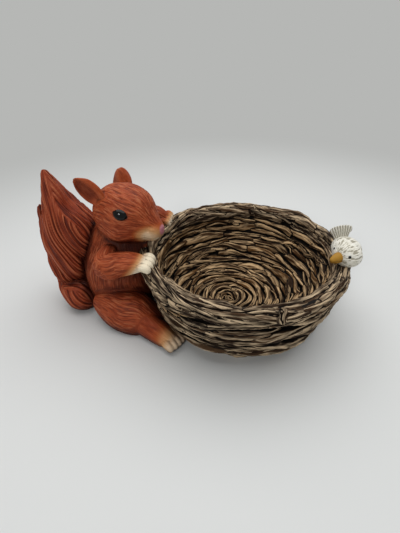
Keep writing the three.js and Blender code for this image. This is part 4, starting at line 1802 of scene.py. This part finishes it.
    def leg_lumps(self, side: Side) -> list[Lump]:
        """Makes one hind leg: a folded haunch and a long foot on the table.

        Args:
            side: Which leg.

        Returns:
            The haunch, the foot and its toes.
        """
        long, high, wide = self.haunch
        reach, broad, tall = self.foot
        hip = self.hip(side)
        hock, forward = self.foot_line(side)
        across = np.array([-forward[1], forward[0], 0])
        thigh = np.array([long, side.value * 0.3 * wide, -0.36 * high])
        haunch = Swell(
            [hip + share * thigh for share in (-0.38, -0.08, 0.2, 0.5)],
            np.array([0.7, 0.96, 1, 0.92]) * wide,
            np.array([0.7, 0.94, 1, 0.78]) * high,
        )

        def up_to(share: float, height: float) -> Array:
            """Gives a place along the foot at a share of its height."""
            place = hock + forward * share * reach
            return np.array([place[0], place[1], height * tall])

        spine = [up_to(0, 0.6), up_to(0.3, 0.5), up_to(0.65, 0.42), up_to(0.92, 0.36)]
        foot = Swell(
            spine, np.array([1.05, 1.05, 1, 1]) * broad, np.array([1.5, 1.25, 1, 0.8]) * tall, blunt=3
        )
        comb = Comb(foot, 0.7, 5.0, 0.08, node=side.part("leg"))
        fold = Comb(haunch, 0.58, 5.0, 0.13, 0.06, comb.node)
        lumps = [Lump(haunch.solid(56, 44), fold), Lump(foot.solid(40, 36), comb)]
        for place in self.DIGITS:
            knuckle = up_to(0.8 - 0.012 * abs(place), 0.42) + across * 0.95 * place * broad / len(self.DIGITS)
            tip = knuckle + forward * 0.2 * reach
            tip[2] = 0.2 * tall
            bend = (knuckle + tip) / 2
            bend[2] = 0.42 * tall
            girths = np.array([1.1, 1.15, 1]) * self.finger[1]
            lumps.append(Lump(Swell([knuckle, bend, tip], girths, girths, blunt=2.6).solid(20, 18), comb))
        return lumps

    def eye_frame(self, side: Side) -> tuple[Array, Array, Array]:
        """Gives an eye's middle, the way it faces and the way it is long, in the head's frame."""
        length, wide, high = self.head_size
        facing = unit((0.28, side.value * 0.92, 0.26))
        middle = np.array([0.11 * length, side.value * 0.42 * wide, 0.13 * high])
        return middle, facing, unit(np.array([1, 0, -0.12]) - facing * facing[0])

    def eye_solid(self, side: Side) -> Solid:
        """Makes one eye bead, with a flattened front.

        Args:
            side: Which eye.

        Returns:
            The bead.
        """
        middle, facing, lengthwise = self.eye_frame(side)
        long, high = self.eye
        spine = [middle + share * long * lengthwise for share in (-0.5, 0, 0.5)]
        girths = (high, high, high)
        points, faces = Swell(spine, girths, girths, up=facing, blunt=2).solid(48, 40)
        off = (points - middle) @ facing
        points = points + np.outer(self.EYE_PROUD - self.EYE_FLATTENED * np.maximum(off, 0), facing)
        return moved((points, faces), self.turn, self.middle)

    def tail_lumps(self) -> list[Lump]:
        """Makes the tail's overlapping locks, which end in flicked tips along its back edge."""
        back = -self.torso_depth / 2
        locks = (
            (((-0.2, 0, 0.08), (0.1, 0, 0.32), (0.24, 0, 0.6), (0.38, 0, 0.82), (0.56, 0, 1)),
             (0.7, 1, 1, 0.75, 0.3), (0.7, 0.95, 0.9, 0.62, 0.3)),
            (((-0.47, 0, 0.34), (-0.26, 0, 0.58), (0.13, 0, 0.79), (0.5, 0, 0.99)),
             (0.6, 0.95, 0.75, 0.3), (0.8, 0.9, 0.34, 0.15)),
            (((0, 0, 0.22), (0.46, 0, 0.46), (0.74, 0, 0.6), (1, 0, 0.74)),
             (0.8, 0.9, 0.7, 0.3), (0.6, 0.7, 0.48, 0.16)),
            (((-0.1, 0, 0.09), (0.34, 0, 0.27), (0.62, -0.06, 0.4), (0.86, -0.1, 0.53)),
             (0.8, 0.95, 0.75, 0.3), (0.6, 0.7, 0.5, 0.16)),
            (((-0.75, -0.3, 0.04), (-0.2, -0.25, 0.08), (0.36, -0.15, 0.16), (0.74, -0.1, 0.29)),
             (0.95, 1.05, 0.75, 0.3), (0.7, 0.82, 0.52, 0.16)),
        )
        lumps = []
        for places, wide, deep in locks:
            spine = [
                (self.stand + back - r * (self.tail_reach + back), s * self.tail_width, h * self.tail_height)
                for r, s, h in places
            ]
            girths = np.array(wide) * self.tail_width, np.array(deep) * self.tail_depth
            lock = Swell(spine, *girths, up=(1, 0, 0))
            comb = Comb(lock, self.strand_width, self.strand_length, self.strand_depth, node="tail")
            lumps.append(Lump(lock.solid(56, 48), comb))
        return lumps

    def build(self, paint: Material, plume: Material, bead: Material, hugged: Solid) -> None:
        """Makes the furry skin, the tail and the eyes.

        Args:
            paint: Paint of the short fur.
            plume: Paint of the tail.
            bead: Finish of the eyes.
            hugged: The nest's own form, which darkens the fur beside it with painted shade.
        """
        grain = Grain(self.seed)
        lumps = self.torso_lumps() + self.head_lumps()
        for side in Side:
            lumps += self.ear_lumps(side) + self.arm_lumps(side) + self.leg_lumps(side)
        locks = self.tail_lumps()
        skin = Skin.over("squirrel_fur", [lump.solid for lump in lumps], self.grid, 4)
        tail = Skin.over("squirrel_tail", [lock.solid for lock in locks], self.tail_grid, 5)
        for part in (skin, tail):
            part.stand()
        # The table and the nest stand round the fur and the tail, so that the paint lays painted shade near
        # them.
        half = self.TABLE_HALF
        corners = [(-half, -half, 0), (half, -half, 0), (half, half, 0), (-half, half, 0)]
        table = np.array(corners), [(0, 1, 2, 3)]
        around, faces = joined([(skin.points, skin.faces()), (tail.points, tail.faces()), hugged, table])
        tree = BVHTree.FromPolygons(around.tolist(), faces)
        coat = Coat.over(skin, lumps)
        self._carve(skin, coat, grain, 1 - openness(skin, tree, self.FUR_REACH))
        nodes = list(dict.fromkeys(comb.node for comb in coat.combs))
        marks = np.array([nodes.index(comb.node) for comb in coat.combs])[coat.owner]
        for mark, part in skin.parted(marks).items():
            self.pieces.append((part.finish("squirrel_" + nodes[mark], paint), nodes[mark], "russet_paint"))

        self._flick(tail, Coat.over(tail, locks), grain, 1 - openness(tail, tree, self.TAIL_REACH))
        self.pieces.append((tail.finish("squirrel_tail", plume), "tail", "russet_paint"))

        for side in Side:
            node = side.part("eye")
            eye = Skin(mesh_of("squirrel_" + node, self.eye_solid(side)))
            self.pieces.append((eye.finish("squirrel_" + node, bead), node, "eye_gloss"))

    def _carve(self, skin: Skin, coat: Coat, grain: Grain, gap: Array) -> None:
        """Carves the fur and the eye sockets, and marks where each colour and the painted shade go.

        Args:
            skin: The squirrel's skin.
            coat: How its fur lies.
            grain: The random values of the strokes.
            gap: How closed in each point is.
        """
        normals = skin.normals()
        points = skin.points
        stroke = coat.strokes(grain, self.STROKE)
        crease = ease(skin.hollows(self.CREASE_PASSES), 0.02, 0.14)
        cream, nose, lid = self._colour_marks(points)
        amount = coat.depth * stroke * (1 - 0.7 * cream) * (1 - coat.seam)
        for side in Side:
            ring = self._eye_ring(points, side)
            amount = np.where(ring < 1.5, amount * ease(ring, 1.1, 1.5), amount)
            lids = np.exp(-(((ring - 1.12) / 0.12) ** 2))
            amount += self.LID_RIDGE * lids - self.SOCKET_DEPTH * ease(ring, 1.0, 0.8)
        above = points[:, 2] > self.ON_TABLE
        cups = self._ear_cups(points, normals, coat)
        skin.push(np.where(above, amount, 0), normals)
        skin.stand()
        skin.paint("stroke", 0.5 + 0.5 * stroke)
        skin.paint("smooth", np.maximum(0.75 * ease(coat.depth, 0.12, 0.05), 0.8 * coat.seam))
        # Painted shade, spread smoothly over the torso and the legs.
        shade = np.array([self.PAINTED_SHADE_BY_NODE.get(comb.node, 0.0) for comb in coat.combs])[coat.owner]
        gap = gap + skin.blurred(shade, 20)
        # Creases and ear cups get wash and painted shade; the ears take less of the shade from what stands
        # round them.
        ears = np.isin(coat.owner, [i for i, comb in enumerate(coat.combs) if comb.form.scoop])
        crease_wash_and_shade = self.UNDARKENED_GAP + np.maximum(0.22 * crease, 0.16 * cups)
        skin.paint("gap", np.maximum(np.where(ears, 0.4 * gap, gap), crease_wash_and_shade))
        skin.paint("comb", coat.place)
        # The ears' outsides get a little pale orange: a painted highlight that brightens the ears.
        skin.paint("cream", np.maximum(cream, np.where(ears, 0.06 * (1 - np.clip(cups, 0, 1)), 0)))
        skin.paint("nose", nose)
        skin.paint("lid", lid)

    @staticmethod
    def _ear_cups(points: Array, normals: Array, coat: Coat) -> Array:
        """Marks the insides of the ears.

        Args:
            points: The skin's points.
            normals: Their outward directions.
            coat: How the fur lies.

        Returns:
            A share for each point, 1 in the middle of a cup.
        """
        cups = np.zeros(len(points))
        for i, comb in enumerate(coat.combs):
            if comb.form.scoop:
                mine = coat.owner == i
                share, across, _ = comb.form.read(points[mine])
                lift = comb.form.frames(share)[2]
                faces = ease((normals[mine] * lift).sum(axis=1), 0.0, 0.5)
                inside = ease(np.abs(across - comb.form.lean), 0.75, 0.4)
                cups[mine] = faces * inside * ease(share, 0.1, 0.3) * ease(share, 0.95, 0.75)
        return cups

    def _eye_ring(self, points: Array, side: Side) -> Array:
        """Tells how far points lie from an eye.

        Args:
            points: The points.
            side: Which eye.

        Returns:
            1 on the eye's outline, less inside it, and large on the head's other side.
        """
        middle, facing, lengthwise = self.eye_frame(side)
        upright = np.cross(facing, lengthwise)
        off = self.in_head(points) - middle
        long, high = self.eye
        along = off @ lengthwise / (0.5 * long)
        ring = np.hypot(along, off @ upright / (0.42 * high) * (1 + 0.5 * along**2))
        return np.where(np.abs(off @ facing) < self.EYE_DEPTH, ring, self.FAR_OFF)

    def _colour_marks(self, points: Array) -> tuple[Array, Array, Array]:
        """Marks the cream tips, the nose and the eyelids.

        Args:
            points: The skin's points.

        Returns:
            A share from 0 to 1 of each colour at each point.
        """
        cream = np.zeros(len(points))
        lid = np.zeros(len(points))
        for side in Side:
            paw = self.paw_place(side)
            off = points - paw
            near = (np.abs(off[:, 1]) < 0.9 * self.paw_width) & (off[:, 2] > -9) & (off[:, 2] < 9)
            reach = off[:, 0] - 0.7 * off[:, 2] - self.CREAM_LATER[side]
            cream = np.maximum(cream, np.where(near & (off[:, 0] > -18), ease(reach, *self.PAW_CREAM), 0))
            hock, forward = self.foot_line(side)
            off = points - hock
            reach = off @ forward
            aside = np.abs(off @ (-forward[1], forward[0], 0))
            near = (aside < 0.75 * self.foot[1]) & (points[:, 2] < self.foot[2])
            cream = np.maximum(cream, np.where(near, 0.7 * ease(reach, *self.FOOT_CREAM), 0))
            lid = np.maximum(lid, ease(self._eye_ring(points, side), 1.22, 1.08))
        local = self.in_head(points)
        middle, size = self.CHEEK_PATCH
        patch = (local - middle) / size
        cream = np.maximum(cream, 0.74 * ease(np.linalg.norm(patch, axis=1), 1.3, 0.5))
        tip = np.linalg.norm(local - (self.nose + 0.5, 0, 0.5 * self.chin), axis=1)
        nose = ease(tip, *self.NOSE_PAINT)
        return cream, nose, lid

    def _sweep(self, points: Array, beside: Array) -> Array:
        """Gives comb coordinates of strands that sweep back over the tail's sides and run up its edges.

        Args:
            points: Points of the tail.
            beside: Which of them lie on its two sides.

        Returns:
            Rows of three values, in which a strand is about 1 wide and 1 long.
        """
        back = self.stand - self.torso_depth / 2 - points[:, 0]
        slope = self.TAIL_SLOPE + 2 * self.TAIL_CURVE * back
        level = points[:, 2] - self.TAIL_SLOPE * back - self.TAIL_CURVE * back**2
        level = level / np.hypot(1, slope)
        level = level + 0.9 * np.sin(0.15 * (points[:, 2] + back) + 0.1 * points[:, 1])
        thread = np.where(beside, level, points[:, 1]) / self.strand_width
        layer = np.where(beside, points[:, 1], back) / self.TAIL_LAYER
        return np.stack([thread, layer, (back + points[:, 2]) / self.strand_length], 1)

    def _flick(self, tail: Skin, coat: Coat, grain: Grain, gap: Array) -> None:
        """Carves the tail's long strands and draws out the tips of its locks.

        Args:
            tail: The tail's skin.
            coat: How its fur lies.
            grain: The random values of the strands.
            gap: How closed in each point is.
        """
        normals = tail.normals()
        beside = np.abs(normals[:, 1]) > 0.5
        coat = replace(coat, place=self._sweep(tail.points, beside))
        strand = coat.strokes(grain, self.STRAND)
        crease = ease(tail.hollows(self.CREASE_PASSES), 0.04, 0.3)
        edge = np.minimum(tail.border(beside), 0.8)
        above = tail.points[:, 2] > self.ON_TABLE
        flick = np.zeros_like(tail.points)
        for i, comb in enumerate(coat.combs):
            mine = coat.owner == i
            share, _, _ = comb.form.read(tail.points[mine])
            reach = self.flick * ease(share, 0.72, 1.0)
            flick[mine] = heading_of(comb.form.spine, share) * reach[:, None]
        tail.push(np.where(above, coat.depth * strand * (1 - edge), 0), normals)
        tail.points = tail.points + tail.blurred(flick, 8)
        tail.stand()
        tail.paint("stroke", 0.5 + 0.5 * strand)
        tail.paint("smooth", 0.6 * edge)
        # Painted shade: darker towards the bottom of the tail, and with wash in its creases.
        gap = gap + 0.1 * ease(tail.points[:, 2], 55, 10)
        tail.paint("gap", np.maximum(gap, self.UNDARKENED_GAP + 0.35 * crease))
        tail.paint("comb", coat.place)


# Bird


@dataclass
class Bird(Assembly):
    """The small pale bird on the far rim."""

    rim_radius: float = 60.5
    rim_top: float = 50.0
    angle: float = -3.0
    turn: float = -65.0
    glance: float = -75.0
    body: tuple[float, float, float] = (19.0, 17.0, 13.0)
    head: float = 16.0
    beak: tuple[float, float] = (6.0, 6.4)
    fan: tuple[float, float, float] = (6.8, 13.5, 3.0)
    feathers: int = 8
    grid: float = 0.32
    seed: int = 23

    def __post_init__(self) -> None:
        """Works out the bird's place and the ways its beak and tail point."""
        self.place = turning(2, self.angle) @ np.array([self.rim_radius, 0, self.rim_top])
        self.matrix = turning(2, self.turn)
        long, wide, high = self.body
        self.crown = np.array([0.22 * long, -0.1 * wide, 0.38 * high])
        self.beak_way = unit(turning(2, self.glance) @ np.array([1, 0, -0.04]))
        self.fan_root = np.array([-0.36 * long, 0, 0.82 * high])
        self.fan_way = unit((-0.15, -0.12, 0.95))
        self.fan_face = unit((0.85, -0.3, 0.35))

    def put(self, solid: Solid) -> Solid:
        """Moves a form from the bird's own frame into the figurine's."""
        return moved(solid, self.matrix, self.place)

    def build(self, down: Material, horn: Material, bead: Material) -> None:
        """Makes the body, the tail, the beak and the eyes.

        Args:
            down: Paint of the feathers.
            horn: Paint of the beak.
            bead: Finish of the eyes.
        """
        grain = Grain(self.seed)
        long, wide, high = self.body
        shares = np.array([0.8, 1, 1, 0.8])
        body = Swell(
            [(share * long, 0, (0.42 - 0.1 * share) * high) for share in (-0.5, -0.15, 0.2, 0.5)],
            shares * wide,
            shares * high,
        )
        crown = Swell(
            [self.crown + share * self.head * self.beak_way - (0, 0, 0.6) for share in (-0.5, 0, 0.5)],
            (1.14 * self.head,) * 3,
            (0.9 * self.head,) * 3,
            blunt=2,
        )
        skin = Skin.over("bird_feathers", [self.put(body.solid()), self.put(crown.solid())], self.grid, 6)
        self._ruffle(skin, grain)
        self.pieces.append((skin.finish("bird_feathers", down), "bird_body", "bird_paint"))
        self.pieces.append((self._fan_skin().finish("bird_fan", down), "bird_tail", "bird_paint"))
        self.pieces.append((self._beak_skin().finish("bird_bill", horn), "bird_beak", "beak_paint"))

        upright = np.array([0.0, 0.0, 1.0])
        aside = unit(np.cross(upright, self.beak_way))
        beads = []
        for sign in (-1, 1):
            way = unit(0.62 * self.beak_way + sign * 0.72 * aside + 0.3 * upright)
            middle = self.crown + 0.47 * self.head * way
            spine = [middle + reach * self.beak_way for reach in (-1.2, 0, 1.2)]
            beads.append(self.put(Swell(spine, (1.9,) * 3, (1.9,) * 3, up=way, blunt=2).solid(20, 18)))
        eyes = Skin(mesh_of("bird_eyes", joined(beads)))
        self.pieces.append((eyes.finish("bird_eyes", bead), "bird_body", "eye_gloss"))

    def _ruffle(self, skin: Skin, grain: Grain) -> None:
        """Carves short feather flecks that run back from the beak.

        Args:
            skin: The bird's skin.
            grain: The random values of the flecks.
        """
        normals = skin.normals()
        nape = self.crown - 1.2 * self.head * self.beak_way
        line = [nape, self.crown, self.crown + 0.6 * self.head * self.beak_way]
        line = np.array(line) @ self.matrix.T + self.place
        comb = Comb(Swell(line, (self.head,) * 3, (self.head,) * 3), 0.6, 2.2, 0.2).place(skin.points)
        fleck = ease(grain.at(comb, 1.0), -0.5, -0.1)
        skin.push(0.2 * (fleck - 1), normals)
        skin.paint("stroke", fleck)
        skin.paint("comb", comb)

    def _fan_skin(self) -> Skin:
        """Makes the upright tail, with a groove between each two feathers.

        Returns:
            The tail's surface.
        """
        long, wide, thick = self.fan
        spine = [self.fan_root + share * long * self.fan_way for share in (-0.6, 0.1, 0.6, 1)]
        form = Swell(
            spine,
            np.array([0.65, 0.75, 1, 1]) * wide,
            np.array([1, 1, 1, 0.7]) * thick,
            up=self.fan_face,
            blunt=3.2,
        )
        points, faces = form.solid(160, 72)
        across = unit(np.cross(self.fan_face, self.fan_way))
        off = points - (self.fan_root - 1.6 * long * self.fan_way)
        up, aside = off @ self.fan_way, off @ across
        ray = np.arctan2(aside, up) / np.arctan2(0.5 * wide, 2.6 * long)
        groove = np.abs(np.cos(0.5 * math.pi * self.feathers * ray))
        vane = 1 - (1 - groove) ** 1.6
        share = ease(up, 1.6 * long, 2.2 * long)
        thickness = off @ self.fan_face
        points = points - self.fan_face * (0.55 * (1 - vane) * np.sign(thickness))[:, None]
        points = points - self.fan_way * (1.2 * (1 - vane) * share)[:, None]
        skin = Skin(mesh_of("bird_fan", self.put((points, faces))))
        skin.paint("stroke", ease(groove, 0.15, 0.85))
        skin.paint("comb", np.stack([4 * self.feathers * ray, up, thickness], 1))
        return skin

    def _beak_skin(self) -> Skin:
        """Makes the beak, with the line between its halves.

        Returns:
            The beak's surface.
        """
        long, wide = self.beak
        spine = [self.crown + (self.head / 2 + reach) * self.beak_way for reach in (-long / 2, 0, long)]
        girths = np.array([1, 0.98, 0.68]) * wide
        points, faces = Swell(spine, girths, girths, blunt=2.6).solid(64, 48)
        upright = unit(np.cross(np.cross(self.beak_way, (0, 0, 1)), self.beak_way))
        off = points - self.crown
        line = np.exp(-((((off @ upright) + 0.5) / 0.28) ** 2))
        middle = self.crown + np.outer(off @ self.beak_way, self.beak_way)
        points = points - unit(points - middle) * (0.3 * line)[:, None]
        skin = Skin(mesh_of("bird_bill", self.put((points, faces))))
        skin.paint("stroke", 0.75 - 0.7 * line)
        skin.paint("comb", skin.points)
        return skin


# Studio


@dataclass(frozen=True)
class Studio:
    """A pale cloth, soft light from above and the camera at the photo's angle."""

    floor_m: float = 12.0
    camera_mm: tuple[float, float, float] = (2.52, -216.26, 181.09)
    target_mm: tuple[float, float, float] = (-25.24, -18.70, 45.0)
    lens_mm: float = 27.02
    nearest_m: float = 0.01
    sky: str = "#e8edf2"
    sky_strength: float = 0.2
    lamps: tuple = (
        ("overhead_softbox", (0.02, 0.24, 0.95), 1.5, 12.2, (0.0, 0.0, 0.0)),
        ("catch_light", (-0.19, -0.78, 0.54), 0.16, 1.8, (-0.05, 0.0, 0.05)),
    )

    def build(self) -> None:
        """Sets up the floor, the light and the camera."""
        scene = bpy.context.scene
        half = self.floor_m / 2
        corners = [(-half, -half, 0), (half, -half, 0), (half, half, 0), (-half, half, 0)]
        mesh = bpy.data.meshes.new("floor_cloth")
        mesh.from_pydata(corners, [], [(0, 1, 2, 3)])
        mesh.materials.append(FloorCloth().make())
        object_of("floor_cloth", mesh)

        target = Vector(self.target_mm) * MM
        for name, place, size, power, aim in self.lamps:
            light = bpy.data.lights.new(name, "AREA")
            light.size, light.energy = size, power
            lamp = bpy.data.objects.new(name, light)
            scene.collection.objects.link(lamp)
            lamp.location = place
            lamp.rotation_euler = (Vector(aim) - lamp.location).to_track_quat("-Z", "Y").to_euler()

        world = bpy.data.worlds.new("soft_room")
        world.use_nodes = True
        tree = world.node_tree
        room = tree.nodes["Background"]
        feed(tree, room, {"Color": to_linear(self.sky), "Strength": self.sky_strength})
        tone = add_node(tree, "ShaderNodeBackground", {"Color": to_linear(FloorCloth.backdrop)})
        mix = add_node(tree, "ShaderNodeMixShader", {0: seen_rays(tree), 1: room.outputs[0], 2: tone})
        tree.links.new(mix, tree.nodes["World Output"].inputs["Surface"])
        scene.world = world

        lens = bpy.data.cameras.new("photo_camera")
        lens.lens = self.lens_mm
        lens.clip_start = self.nearest_m
        camera = bpy.data.objects.new("photo_camera", lens)
        scene.collection.objects.link(camera)
        camera.location = Vector(self.camera_mm) * MM
        camera.rotation_euler = (target - camera.location).to_track_quat("-Z", "Y").to_euler()
        scene.camera = camera
        scene.view_settings.view_transform = "Standard"


def main() -> None:
    """Builds every piece over the frame, dresses it and sets up the studio."""
    logging.basicConfig(level=logging.INFO, format="%(message)s")
    fur = FurPaint("acrylic_on_carved_fur", "#8e3a1c", "#a84e2b", "#4a1608", "#c0734c").make()
    combed = {"hair_share": 0.45, "wash_share": 0.85, "wash_range": (0.52, 0.14), "ridge_share": 0.8}
    plume = FurPaint(
        "acrylic_on_combed_tail", "#85351c", "#9c4426", "#46140a", "#bc6c48", **combed
    ).make()
    flecked = {"hair_share": 0.3, "wash_share": 0.72, "wash_range": (0.9, 0.2), "crease": "#5d5746"}
    down = FurPaint(
        "acrylic_on_carved_feathers", "#e2dcc9", "#f4f0e2", "#7d745d", "#f8f5ec", **flecked
    ).make()
    horn = FurPaint(
        "acrylic_on_smooth_beak", "#94661a", "#a87a28", "#5f3d0c", "#bd9445", hair_share=0.0
    ).make()
    bead = GlossBead().make()
    warm = TwigPaint("painted_twigs_warm_brown", "#1f0f03", "#432b14", "#634423", "#d1af83").make()
    grey = TwigPaint("painted_twigs_grey_brown", "#160b04", "#352315", "#553e29", "#d6bc99").make()

    nest = Nest()
    nest.build(TwigBark(), warm, grey)
    nest.dress()
    squirrel = Squirrel()
    squirrel.build(fur, plume, bead, nest.form)
    squirrel.dress()
    bird = Bird()
    bird.build(down, horn, bead)
    bird.dress()
    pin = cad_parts["bird_pin"]
    pin.data.materials.clear()
    pin.data.materials.append(DrawnSteel().make())
    LOG.info("bird_pin keeps its CAD shape")
    Studio().build()


if __name__ == "__main__":
    main()
